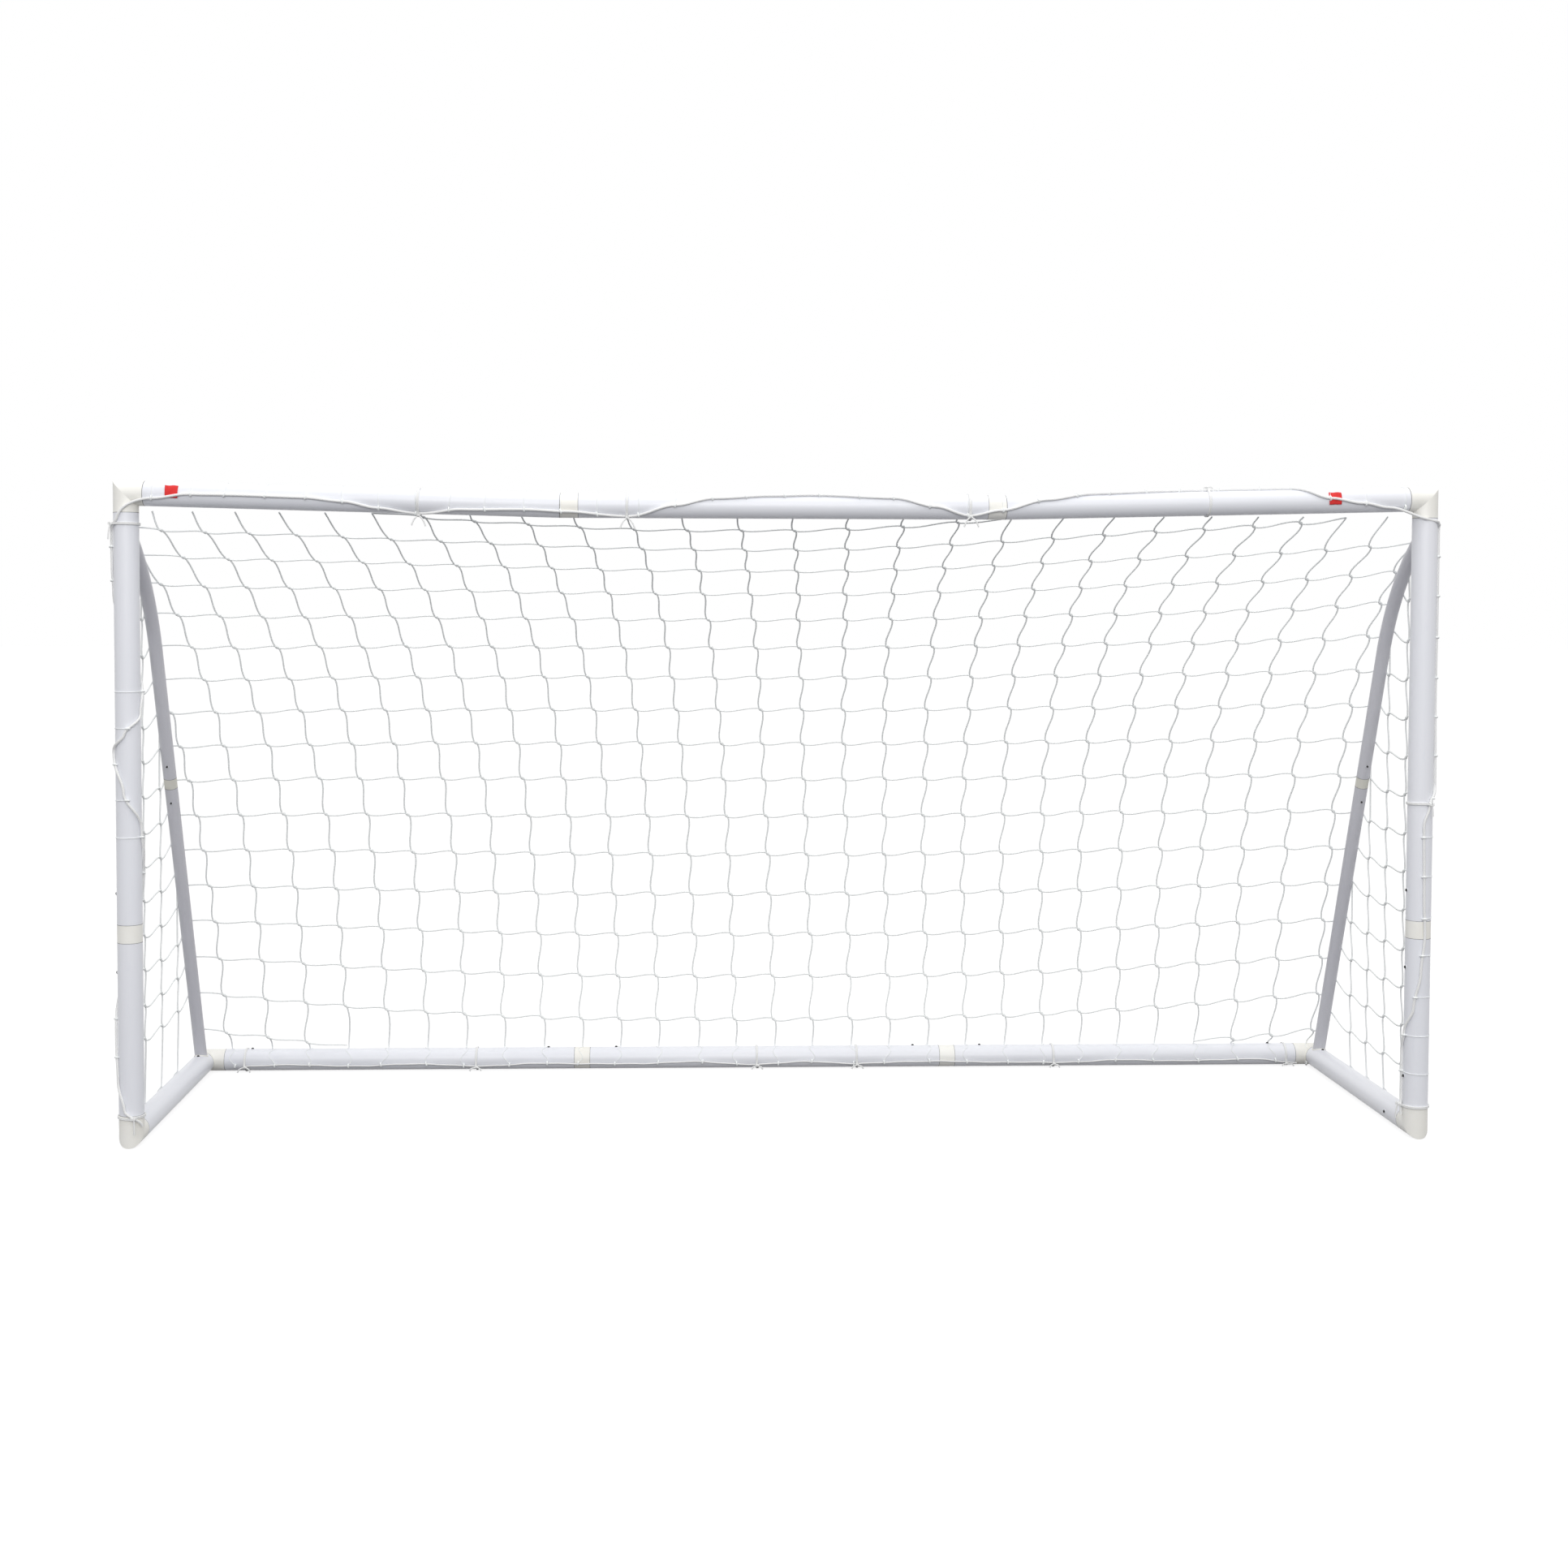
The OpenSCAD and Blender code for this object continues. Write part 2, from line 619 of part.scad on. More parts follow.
// ---- Border rope
// Round a level bar: [x, angle from the front, upwards]; round a post: [height, angle outwards]
rope_off = tube_r + rope_d / 2 + 1.6;
snug_off = tube_r + rope_d / 2 + 0.5;
wrap_off = tube_r + rope_d / 2 + 5;
notch_h = 70;
NOTCH_Z = [522, 1434];
CROSSBAR_ROPE = [[-1715, -20], [-1620, 0], [-1490, 2], [-1310, 0], [-1200, -12], [-1110, -36],
    [-1000, -62], [-885, -32], [-700, -24], [-600, -28], [-430, -52], [-300, 0], [-190, 32],
    [-30, 48], [80, 55], [300, 38], [415, 0], [515, -40], [595, -15], [730, 28], [865, 60],
    [1180, 84], [1400, 82], [1515, 10], [1605, -13], [1685, -36]];
LEFT_POST_ROPE = [[60, -60], [108, 15], [187, 50], [321, 75], [480, 135], [600, 180], [740, 230],
    [880, 285], [982, 365], [1094, 425], [1140, 360], [1195, 285], [1360, 190], [1530, 100],
    [1600, 85], [1690, 75], [1735, 20]];
RIGHT_POST_ROPE = [[1735, -20], [1745, 35], [1720, 86], [1500, 86], [1250, 90], [1000, 75],
    [945, 20], [887, -5], [690, 0], [577, 6], [473, -8], [370, -35], [300, -80], [240, -108],
    [120, -108], [60, -100]];
REAR_ROPE = [[-1664, -20], [-1500, -14], [-1300, -24], [-1150, -12], [-928, -26], [-700, -14],
    [-450, -20], [-250, -10], [-26, -26], [150, -12], [297, -26], [500, -14], [700, -20],
    [937, -26], [1150, -14], [1400, -20], [1600, -10], [1700, -32], [1735, -40]];

CROSSBAR_TIES = [-1000, -430, 515, 1180];
REAR_TIES = [-1664, -928, -26, 297, 937, 1700];

function steps(list, most) = [for (i = [0:len(list) - 2])
    let (n = max(1, ceil(abs(list[i + 1].y - list[i].y) / most)))
    for (k = [0:n - 1]) list[i] + (list[i + 1] - list[i]) * k / n, list[len(list) - 1]];
// The rope is pulled tight to its bar at each tie
function round_bar(p, y, z, ties) = let (r = len([for (x = ties) if (x == p.x) x]) ? snug_off : rope_off)
    [p.x, y - r * cos(p.y), z + r * sin(p.y)];
function round_post(s, p) = [s * (post_x + wrap_off * sin(p.y)), front_y - wrap_off * cos(p.y), p.x];

mouth_route = concat(
    [for (p = steps(LEFT_POST_ROPE, 45)) round_post(-1, p)],
    [for (p = steps(CROSSBAR_ROPE, 22)) round_bar(p, front_y, crossbar_z(p.x), CROSSBAR_TIES)],
    [for (p = steps(RIGHT_POST_ROPE, 45)) round_post(1, p)]);
rear_route = [for (p = REAR_ROPE) round_bar(p, rear_y, bar_z, REAR_TIES)];

function tangents(p) = [for (i = [0:len(p) - 1])
    unit(p[min(i + 1, len(p) - 1)] - p[max(i - 1, 0)])];
function carry(t, u, i = 0) = i == len(t) ? [] :
    let (v = unit(u - (u * t[i]) * t[i])) concat([v], carry(t, v, i + 1));

// A round tube swept along a route, with flat ends
module swept_tube(route, d, sides) {
    t = tangents(route);
    side = carry(t, [0.6, -0.64, 0.48]);
    n = len(route);
    points = [for (i = [0:n - 1]) for (k = [0:sides - 1]) let (a = 360 * k / sides)
        route[i] + d / 2 * (cos(a) * side[i] + sin(a) * cross(t[i], side[i]))];
    walls = [for (i = [0:n - 2]) for (k = [0:sides - 1]) let (m = (k + 1) % sides)
        each [[i * sides + k, (i + 1) * sides + k, (i + 1) * sides + m],
            [i * sides + k, (i + 1) * sides + m, i * sides + m]]];
    start_cap = [for (k = [1:sides - 2]) [0, k, k + 1]];
    end_cap = [for (k = [1:sides - 2]) [(n - 1) * sides, (n - 1) * sides + k + 1, (n - 1) * sides + k]];
    polyhedron(points, concat(walls, start_cap, end_cap));
}

module border_rope() {
    color("whitesmoke") {
        swept_tube(mouth_route, rope_d, 8);
        swept_tube(rear_route, rope_d, 8);
    }
}

// ---- Ties: [axis point, axis direction, ring radius, arc start, arc]
ring_r = snug_off + rope_d / 2 + tie_d / 2 + 0.4;
post_ring_r = wrap_off + rope_d / 2 + tie_d / 2 + 0.3;

// A loop of cord round a bar that runs along X; the arc is counted from below, over the back
module bar_tie(x, y, z, r, start, arc) {
    translate([x, y, z]) rotate([0, 90, 0]) rotate([0, 0, start])
        rotate_extrude(angle = arc) translate([r, 0]) circle(d = tie_d, $fn = 24);
}

// A loop round a post, open behind it where the net passes
module post_tie(s, z) {
    translate([s * post_x, front_y, z]) mirror([s < 0 ? 1 : 0, 0, 0]) rotate([0, 0, 150])
        rotate_extrude(angle = 257) translate([post_ring_r, 0]) circle(d = tie_d, $fn = 24);
}

module net_ties() {
    color("whitesmoke") {
        for (x = CROSSBAR_TIES) bar_tie(x, front_y, crossbar_z(x), ring_r, 78, 318);
        for (x = REAR_TIES) bar_tie(x, rear_y, bar_z, ring_r, 225, 90);
        post_tie(-1, 1712.5);
        post_tie(1, 945);
        post_tie(-1, 84);
        post_tie(1, 90);
    }
}

// ---- Small cloth tags on the crossbar rope
TAG_X = [-1665, 1530];
module rope_and_ties() {
    border_rope();
    net_ties();
}

module rope_tags() {
    color("red") for (x = TAG_X)
        translate([x, front_y, crossbar_z(x)]) rotate([-42, 0, 0])
            translate([-tag_w / 2, -tube_r - net_gap - tag_t, -tag_h / 2]) cube([tag_w, tag_t, tag_h]);
}

crossbar_tube_left();
crossbar_tube_middle();
crossbar_tube_right();
crossbar_couplers();
left_top_corner();
right_top_corner();
left_post_upper_tube();
right_post_upper_tube();
left_post_lower_tube();
right_post_lower_tube();
post_couplers();
left_foot_corner();
right_foot_corner();
left_side_bar();
right_side_bar();
left_rear_corner();
right_rear_corner();
rear_bar_tube_left();
rear_bar_tube_middle();
rear_bar_tube_right();
rear_bar_couplers();
left_stanchion_lower();
right_stanchion_lower();
left_stanchion_upper();
right_stanchion_upper();
stanchion_couplers();
clip_springs();
net_back_left();
net_back_right();
net_sides();
rope_and_ties();  // border_rope
rope_tags();
for (b = BUTTONS)
    snap_button(b);
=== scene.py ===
"""Looks of a full-size garden soccer goal: white tubes, moulded fittings, knotted net and rope."""

from __future__ import annotations

import json
import logging
import math
import random
from dataclasses import dataclass, field
from enum import Enum
from typing import Callable, Iterable, Mapping, Sequence

import bpy
from mathutils import Matrix, Vector

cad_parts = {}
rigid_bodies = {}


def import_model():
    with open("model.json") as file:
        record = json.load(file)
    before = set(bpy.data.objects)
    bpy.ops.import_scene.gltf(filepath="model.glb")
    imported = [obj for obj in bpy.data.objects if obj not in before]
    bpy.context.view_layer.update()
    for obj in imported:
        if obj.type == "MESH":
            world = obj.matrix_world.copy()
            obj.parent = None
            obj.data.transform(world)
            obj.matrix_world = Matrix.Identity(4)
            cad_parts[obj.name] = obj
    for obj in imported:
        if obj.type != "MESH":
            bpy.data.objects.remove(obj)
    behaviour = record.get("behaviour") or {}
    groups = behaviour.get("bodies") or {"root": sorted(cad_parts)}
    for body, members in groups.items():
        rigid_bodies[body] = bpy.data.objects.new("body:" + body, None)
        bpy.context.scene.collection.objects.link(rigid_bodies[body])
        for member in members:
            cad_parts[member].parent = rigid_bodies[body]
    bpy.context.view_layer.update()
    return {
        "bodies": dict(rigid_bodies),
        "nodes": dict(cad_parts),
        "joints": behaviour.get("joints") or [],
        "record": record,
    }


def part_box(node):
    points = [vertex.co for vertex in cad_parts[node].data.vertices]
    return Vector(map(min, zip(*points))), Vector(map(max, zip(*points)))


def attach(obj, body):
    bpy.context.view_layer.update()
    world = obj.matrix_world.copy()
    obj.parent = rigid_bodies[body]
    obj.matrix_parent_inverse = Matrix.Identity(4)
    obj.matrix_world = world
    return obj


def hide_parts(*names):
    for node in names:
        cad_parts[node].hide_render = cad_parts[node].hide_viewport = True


log = logging.getLogger("soccer_goal")
BODY = "frame"
MM = 0.001
Pair = tuple[float, float]
Colour = tuple[float, float, float, float]


class Axis(Enum):
    """The direction that a piece was extruded or laid along."""

    X = (1.0, 0.0, 0.0)
    Y = (0.0, 1.0, 0.0)
    Z = (0.0, 0.0, 1.0)


class Side(Enum):
    """One side of the goal, as seen from the field."""

    LEFT = -1
    RIGHT = 1


# ---- Node graphs -------------------------------------------------------------------------


class Value:
    """A number socket that adds Math nodes when it is used in arithmetic."""

    def __init__(self, graph: "Graph", socket: bpy.types.NodeSocket) -> None:
        """Wraps a socket of a graph.

        Args:
            graph: The graph that new nodes go in.
            socket: The socket to wrap.
        """
        self.graph = graph
        self.socket = socket

    def op(self, operation: str, *others: "Value | float", clamp: bool = False) -> "Value":
        """Adds a Math node that starts from this value.

        Args:
            operation: The Math node's operation.
            others: Its further inputs.
            clamp: Whether its result is held between 0 and 1.

        Returns:
            The node's output.
        """
        node = self.graph.add(
            "ShaderNodeMath",
            {"operation": operation, "use_clamp": clamp},
            dict(enumerate((self, *others))),
        )
        return Value(self.graph, node.outputs[0])

    def __add__(self, other: "Value | float") -> "Value":
        """This value plus another.

        Args:
            other: What is added.

        Returns:
            The sum.
        """
        return self.op("ADD", other)

    __radd__ = __add__

    def __mul__(self, other: "Value | float") -> "Value":
        """This value times another.

        Args:
            other: The factor.

        Returns:
            The product.
        """
        return self.op("MULTIPLY", other)

    __rmul__ = __mul__

    def __sub__(self, other: "Value | float") -> "Value":
        """This value less another.

        Args:
            other: What is taken away.

        Returns:
            The difference.
        """
        return self.op("SUBTRACT", other)

    def __rsub__(self, other: float) -> "Value":
        """A number less this value.

        Args:
            other: The number that this is taken from.

        Returns:
            The difference.
        """
        return self * -1.0 + other

    def band(self, low: float, high: float) -> "Value":
        """A smooth step from 0 at low to 1 at high.

        Args:
            low: Where the step starts.
            high: Where it ends.

        Returns:
            The step.
        """
        node = self.graph.add(
            "ShaderNodeMapRange",
            {"interpolation_type": "SMOOTHSTEP"},
            {"Value": self, "From Min": low, "From Max": high},
        )
        return Value(self.graph, node.outputs["Result"])


Input = Value | bpy.types.NodeSocket | float | int | Sequence[float] | str | bool


class Graph:
    """A node tree with one call for adding a node."""

    def __init__(self, tree: bpy.types.NodeTree) -> None:
        """Wraps an empty or cleared tree.

        Args:
            tree: The tree.
        """
        self.tree = tree

    def add(
        self,
        kind: str,
        settings: Mapping[str, object] | None = None,
        inputs: Mapping[str | int, Input] | None = None,
    ) -> bpy.types.Node:
        """Adds a node.

        Args:
            kind: The node's type.
            settings: Its own settings; "stops" gives a colour ramp's positions and colours.
            inputs: A value or a link for each input socket, by name or place.

        Returns:
            The node.
        """
        node = self.tree.nodes.new(kind)
        for name, value in (settings or {}).items():
            if name == "stops":
                self._fill_ramp(node, value)
            else:
                setattr(node, name, value)
        for key, value in (inputs or {}).items():
            if isinstance(value, Value):
                value = value.socket
            if isinstance(value, bpy.types.NodeSocket):
                self.tree.links.new(value, node.inputs[key])
            else:
                node.inputs[key].default_value = value
        return node

    @staticmethod
    def _fill_ramp(node: bpy.types.Node, stops: Sequence[tuple[float, Colour]]) -> None:
        """Gives a colour ramp its stops.

        Args:
            node: The ramp's node.
            stops: Each stop's place and colour, in order.
        """
        elements = node.color_ramp.elements
        while len(elements) < len(stops):
            elements.new(0.5)
        for element, (place, colour) in zip(elements, stops):
            element.position = place
            element.color = colour

    def value(self, node: bpy.types.Node, output: str | int = 0) -> Value:
        """A node's output as a value.

        Args:
            node: The node.
            output: The output's name or number.

        Returns:
            The wrapped socket.
        """
        return Value(self, node.outputs[output])


class Shader(Graph):
    """A material's graph, with the nodes that these finishes share."""

    def __init__(self, name: str) -> None:
        """Makes the material and its Principled shader.

        Args:
            name: The material's name.
        """
        self.material = bpy.data.materials.new(name)
        self.material.use_nodes = True
        super().__init__(self.material.node_tree)
        self.tree.nodes.clear()
        self.surface = self.add("ShaderNodeBsdfPrincipled")
        self.add("ShaderNodeOutputMaterial", inputs={"Surface": self.surface.outputs[0]})
        self.place = self.add("ShaderNodeTexCoord").outputs["Object"]

    def set(self, **sockets: Input) -> None:
        """Sets or links the shader's sockets; an underscore in a name stands for a space."""
        for name, value in sockets.items():
            socket = self.surface.inputs[name.replace("_", " ")]
            if isinstance(value, Value):
                value = value.socket
            if isinstance(value, bpy.types.NodeSocket):
                self.tree.links.new(value, socket)
            else:
                socket.default_value = value

    def noise(
        self, scale: float, detail: float = 2.0, stretch: Sequence[float] = (1, 1, 1)
    ) -> Value:
        """Noise over the piece.

        Args:
            scale: Its scale, per metre.
            detail: Its octaves.
            stretch: How much finer it is along each axis.

        Returns:
            The noise, around a half.
        """
        mapping = self.add("ShaderNodeMapping", inputs={"Vector": self.place, "Scale": stretch})
        node = self.add(
            "ShaderNodeTexNoise",
            inputs={"Vector": mapping.outputs[0], "Scale": scale, "Detail": detail},
        )
        return self.value(node, "Fac")

    def mix(self, factor: Input, low: Input, high: Input) -> bpy.types.NodeSocket:
        """A colour between two.

        Args:
            factor: 0 for low, 1 for high.
            low: The first colour.
            high: The second colour.

        Returns:
            The mixed colour's socket.
        """
        node = self.add("ShaderNodeMix", {"data_type": "RGBA"}, {0: factor, 6: low, 7: high})
        return node.outputs[2]

    def bump(self, height: Value, strength: float, depth: float) -> None:
        """Feeds a height to the shader's normal.

        Args:
            height: The height, 0 to 1.
            strength: How strongly it shows.
            depth: What a height of 1 stands for, in metres.
        """
        node = self.add(
            "ShaderNodeBump", inputs={"Height": height, "Strength": strength, "Distance": depth}
        )
        self.set(Normal=node.outputs[0])

    def strand(self) -> tuple[Value, Value]:
        """The place on a cord's surface.

        Returns:
            The distance along it in metres, and the angle round it in radians.
        """
        along = self.add("ShaderNodeAttribute", {"attribute_name": "along"})
        ring = self.add("ShaderNodeAttribute", {"attribute_name": "ring"})
        parts = self.add("ShaderNodeSeparateXYZ", inputs={0: ring.outputs["Vector"]})
        angle = self.value(parts, "Y").op("ARCTAN2", self.value(parts, "X"))
        return self.value(along, "Fac"), angle


# ---- Finishes ----------------------------------------------------------------------------


def paint(red: int, green: int, blue: int) -> Colour:
    """A linear colour from display values of 0 to 255.

    Args:
        red: Red.
        green: Green.
        blue: Blue.

    Returns:
        The colour, opaque.
    """
    def linear(c: float) -> float:
        """One channel in linear light.

        Args:
            c: The channel, from 0 to 1.

        Returns:
            The channel in linear light.
        """
        return c / 12.92 if c <= 0.04045 else ((c + 0.055) / 1.055) ** 2.4

    return (linear(red / 255), linear(green / 255), linear(blue / 255), 1.0)


@dataclass(frozen=True)
class ExtrudedPlastic:
    """Semi-gloss white plastic tube with faint draw lines along it."""

    name: str
    colour: Colour
    shade: Colour
    along: Axis
    roughness: float = 0.34

    def build(self) -> bpy.types.Material:
        """Makes the material."""
        g = Shader(self.name)
        across = [0.02 if part else 1.0 for part in self.along.value]
        lines = g.noise(900.0, 3.0, across)
        drift = g.noise(1.3, 2.0)
        scuff = g.noise(55.0, 4.0, [0.25 if part else 1.0 for part in self.along.value])
        rubbed = scuff.band(0.62, 0.74)
        tone = (drift.band(0.3, 0.7) * 0.45 + lines.band(0.35, 0.65) * 0.25 + rubbed * 0.3)
        g.set(
            Base_Color=g.mix(tone, self.colour, self.shade),
            Roughness=drift * 0.08 + lines * 0.05 + rubbed * 0.12 + (self.roughness - 0.065),
            IOR=1.5,
        )
        g.bump(lines * 0.6 + rubbed * 0.4, 0.25, 0.00008)
        return g.material


@dataclass(frozen=True)
class MouldedPlastic:
    """Satin moulded plastic with a fine spark-eroded grain."""

    name: str
    colour: Colour
    shade: Colour
    roughness: float = 0.42
    grain: float = 0.3

    def build(self) -> bpy.types.Material:
        """Makes the material."""
        g = Shader(self.name)
        grain = g.noise(1400.0, 3.0)
        flow = g.noise(9.0, 3.0)
        g.set(
            Base_Color=g.mix(flow.band(0.3, 0.72), self.colour, self.shade),
            Roughness=grain * 0.12 + flow * 0.08 + (self.roughness - 0.1),
            IOR=1.49,
        )
        g.bump(grain, self.grain, 0.0001)
        return g.material


@dataclass(frozen=True)
class SpringSteel:
    """Bright rolled spring steel."""

    name: str = "clip_steel"

    def build(self) -> bpy.types.Material:
        """Makes the material."""
        g = Shader(self.name)
        rolled = g.noise(500.0, 2.0, (0.05, 1.0, 1.0))
        g.set(
            Base_Color=g.mix(rolled, paint(178, 180, 184), paint(150, 152, 158)),
            Metallic=1.0,
            Roughness=rolled * 0.2 + 0.2,
        )
        return g.material


@dataclass(frozen=True)
class TwistedTwine:
    """Laid polyethylene twine: two strands twisted, with loose fibres."""

    name: str
    colour: Colour
    shade: Colour
    lay: float
    strands: int = 2

    def build(self) -> bpy.types.Material:
        """Makes the material."""
        g = Shader(self.name)
        along, angle = g.strand()
        turn = along * (math.tau / self.lay) + angle
        ridge = (turn * float(self.strands)).op("SINE") * 0.5 + 0.5
        fibres = g.noise(2200.0, 2.0)
        g.set(
            Base_Color=g.mix(ridge * 0.7 + fibres * 0.3, self.shade, self.colour),
            Roughness=fibres * 0.2 + 0.45,
            Specular_IOR_Level=0.35,
        )
        g.bump(ridge * 0.8 + fibres * 0.2, 0.6, 0.0004)
        return g.material


@dataclass(frozen=True)
class BraidedCord:
    """Soft braided rope or cord: crossing plaits under a short fuzz."""

    name: str
    colour: Colour
    shade: Colour
    plait: float
    ends: int = 4
    fuzz: float = 1500.0

    def build(self) -> bpy.types.Material:
        """Makes the material."""
        g = Shader(self.name)
        along, angle = g.strand()
        pitch = along * (math.tau / self.plait)
        half = angle * float(self.ends)
        left = (pitch + half).op("SINE")
        right = (pitch - half).op("SINE")
        plaits = left.op("MAXIMUM", right) * 0.5 + 0.5
        fuzz = g.noise(self.fuzz, 4.0)
        lint = g.noise(260.0, 3.0).band(0.4, 0.75)
        g.set(
            Base_Color=g.mix(
                plaits * 0.55 + fuzz * 0.3 + lint * 0.15, self.shade, self.colour
            ),
            Roughness=fuzz * 0.2 + 0.7,
            Specular_IOR_Level=0.2,
            Sheen_Weight=0.35,
            Sheen_Roughness=0.6,
        )
        g.bump(plaits * 0.6 + fuzz * 0.4, 0.8, 0.0007)
        return g.material


@dataclass(frozen=True)
class WovenCloth:
    """Plain-weave cloth whose threads follow the piece's own UV map."""

    name: str
    colour: Colour
    shade: Colour
    threads: float

    def build(self) -> bpy.types.Material:
        """Makes the material."""
        g = Shader(self.name)
        uv = g.add("ShaderNodeUVMap", {"uv_map": "weave"})
        parts = g.add("ShaderNodeSeparateXYZ", inputs={0: uv.outputs[0]})
        warp = (g.value(parts, "X") * (math.tau * self.threads)).op("SINE")
        weft = (g.value(parts, "Y") * (math.tau * self.threads)).op("SINE")
        weave = (warp * weft) * 0.5 + 0.5
        fade = g.noise(60.0, 3.0)
        g.set(
            Base_Color=g.mix(weave * 0.5 + fade * 0.5, self.shade, self.colour),
            Roughness=fade * 0.15 + 0.7,
            Specular_IOR_Level=0.25,
            Sheen_Weight=0.25,
        )
        g.bump(weave, 0.5, 0.0002)
        return g.material


@dataclass
class Finishes:
    """Every finish of the goal, made once."""

    tube_x: bpy.types.Material = field(init=False)
    tube_y: bpy.types.Material = field(init=False)
    tube_z: bpy.types.Material = field(init=False)
    brace: bpy.types.Material = field(init=False)
    moulded: bpy.types.Material = field(init=False)
    small_collar: bpy.types.Material = field(init=False)
    button: bpy.types.Material = field(init=False)
    steel: bpy.types.Material = field(init=False)
    seam: bpy.types.Material = field(init=False)
    twine: bpy.types.Material = field(init=False)
    rope: bpy.types.Material = field(init=False)
    cord: bpy.types.Material = field(init=False)
    cloth: bpy.types.Material = field(init=False)

    def __post_init__(self) -> None:
        """Builds the materials."""
        white, cool = paint(240, 241, 246), paint(233, 235, 242)
        self.tube_x = ExtrudedPlastic("tube_white_x", white, cool, Axis.X).build()
        self.tube_y = ExtrudedPlastic("tube_white_y", white, cool, Axis.Y).build()
        self.tube_z = ExtrudedPlastic("tube_white_z", white, cool, Axis.Z).build()
        # Painted shade: the braces are the same white plastic as the tubes, given a greyer colour
        # here for the shade that falls on them.
        self.brace = ExtrudedPlastic(
            "brace_white", paint(216, 216, 222), paint(202, 202, 210), Axis.Z, 0.38
        ).build()
        self.moulded = MouldedPlastic(
            "moulded_cream", paint(250, 249, 244), paint(245, 243, 236)
        ).build()
        self.small_collar = MouldedPlastic(
            "moulded_collar", paint(232, 230, 220), paint(224, 222, 212)
        ).build()
        self.button = MouldedPlastic(
            "button_black", paint(22, 22, 24), paint(34, 34, 36), 0.3, 0.1
        ).build()
        self.steel = SpringSteel().build()
        # Painted shadow: dark grey rings at the tube ends stand in for the shade in the joint
        # between tube and fitting.
        self.seam = MouldedPlastic(
            "joint_shadow", paint(120, 120, 126), paint(96, 96, 102), 0.8, 0.1
        ).build()
        self.twine = TwistedTwine(
            "net_twine", paint(255, 255, 255), paint(244, 249, 248), 0.009
        ).build()
        self.rope = BraidedCord(
            "border_rope", paint(255, 255, 253), paint(230, 231, 232), 0.011
        ).build()
        self.cord = BraidedCord(
            "tie_cord", paint(252, 252, 250), paint(226, 227, 228), 0.006, 3
        ).build()
        self.cloth = WovenCloth("red_cloth", paint(238, 62, 58), paint(206, 38, 42), 34.0).build()


# ---- Making pieces -----------------------------------------------------------------------


def unit(v: Vector) -> Vector:
    """A vector of length one.

    Args:
        v: Any vector but a null one.

    Returns:
        The vector, scaled.
    """
    return v.normalized()


def hermite(a: Vector, ta: Vector, b: Vector, tb: Vector, t: float) -> Vector:
    """A point on a cubic curve.

    Args:
        a: Its start.
        ta: Its tangent there.
        b: Its end.
        tb: Its tangent there.
        t: How far along, from 0 to 1.

    Returns:
        The point.
    """
    t2, t3 = t * t, t * t * t
    return (
        a * (2 * t3 - 3 * t2 + 1)
        + ta * (t3 - 2 * t2 + t)
        + b * (3 * t2 - 2 * t3)
        + tb * (t3 - t2)
    )


def between(table: Sequence[Pair], at: float) -> float:
    """A value from a table of places and values, eased between its rows.

    Args:
        table: Rows of a place and a value, in rising or falling order of place.
        at: The place asked for.

    Returns:
        The value there.
    """
    rows = sorted(table)
    if at <= rows[0][0]:
        return rows[0][1]
    for (x0, y0), (x1, y1) in zip(rows, rows[1:]):
        if at <= x1:
            t = (at - x0) / (x1 - x0)
            return y0 + (y1 - y0) * t * t * (3 - 2 * t)
    return rows[-1][1]


@dataclass
class Strands:
    """Lines that are to become round cords, each point with its own radius."""

    points: list[Vector] = field(default_factory=list)
    girths: list[float] = field(default_factory=list)
    edges: list[tuple[int, int]] = field(default_factory=list)

    def lay(self, line: Sequence[Vector], radius: float | Sequence[float]) -> None:
        """Adds one line.

        Args:
            line: The points that it follows.
            radius: Its radius, or one for each point, in metres.
        """
        first = len(self.points)
        self.points += [Vector(p) for p in line]
        self.girths += [radius] * len(line) if isinstance(radius, float) else list(radius)
        self.edges += [(first + i, first + i + 1) for i in range(len(line) - 1)]

    def to_object(self, name: str) -> bpy.types.Object:
        """Makes the lines a mesh of loose edges with their radii on it.

        Args:
            name: The object's name.

        Returns:
            The object.
        """
        mesh = bpy.data.meshes.new(name)
        mesh.from_pydata([tuple(p) for p in self.points], self.edges, [])
        girth = mesh.attributes.new("girth", "FLOAT", "POINT")
        girth.data.foreach_set("value", self.girths)
        return link(name, mesh)


@dataclass
class Places:
    """Points where a small shape is to be repeated, each with a turn and a size."""

    points: list[Vector] = field(default_factory=list)
    turns: list[Vector] = field(default_factory=list)
    sizes: list[float] = field(default_factory=list)

    def put(self, at: Vector, x_axis: Vector, z_axis: Vector, size: float = 1.0) -> None:
        """Adds a place.

        Args:
            at: Where the shape's origin goes.
            x_axis: Where its X axis points.
            z_axis: Where its Z axis points, as far as its X axis lets it.
            size: How large it is made.
        """
        x = unit(x_axis)
        z = unit(z_axis - x * z_axis.dot(x))
        y = z.cross(x)
        turn = Matrix((x, y, z)).transposed().to_euler()
        self.points.append(Vector(at))
        self.turns.append(Vector(turn))
        self.sizes.append(size)

    def to_object(self, name: str) -> bpy.types.Object:
        """Makes the places a mesh of loose points that carry their turns and sizes.

        Args:
            name: The object's name.

        Returns:
            The object.
        """
        mesh = bpy.data.meshes.new(name)
        mesh.from_pydata([tuple(p) for p in self.points], [], [])
        turn = mesh.attributes.new("turn", "FLOAT_VECTOR", "POINT")
        turn.data.foreach_set("vector", [c for t in self.turns for c in t])
        size = mesh.attributes.new("size", "FLOAT", "POINT")
        size.data.foreach_set("value", self.sizes)
        return link(name, mesh)


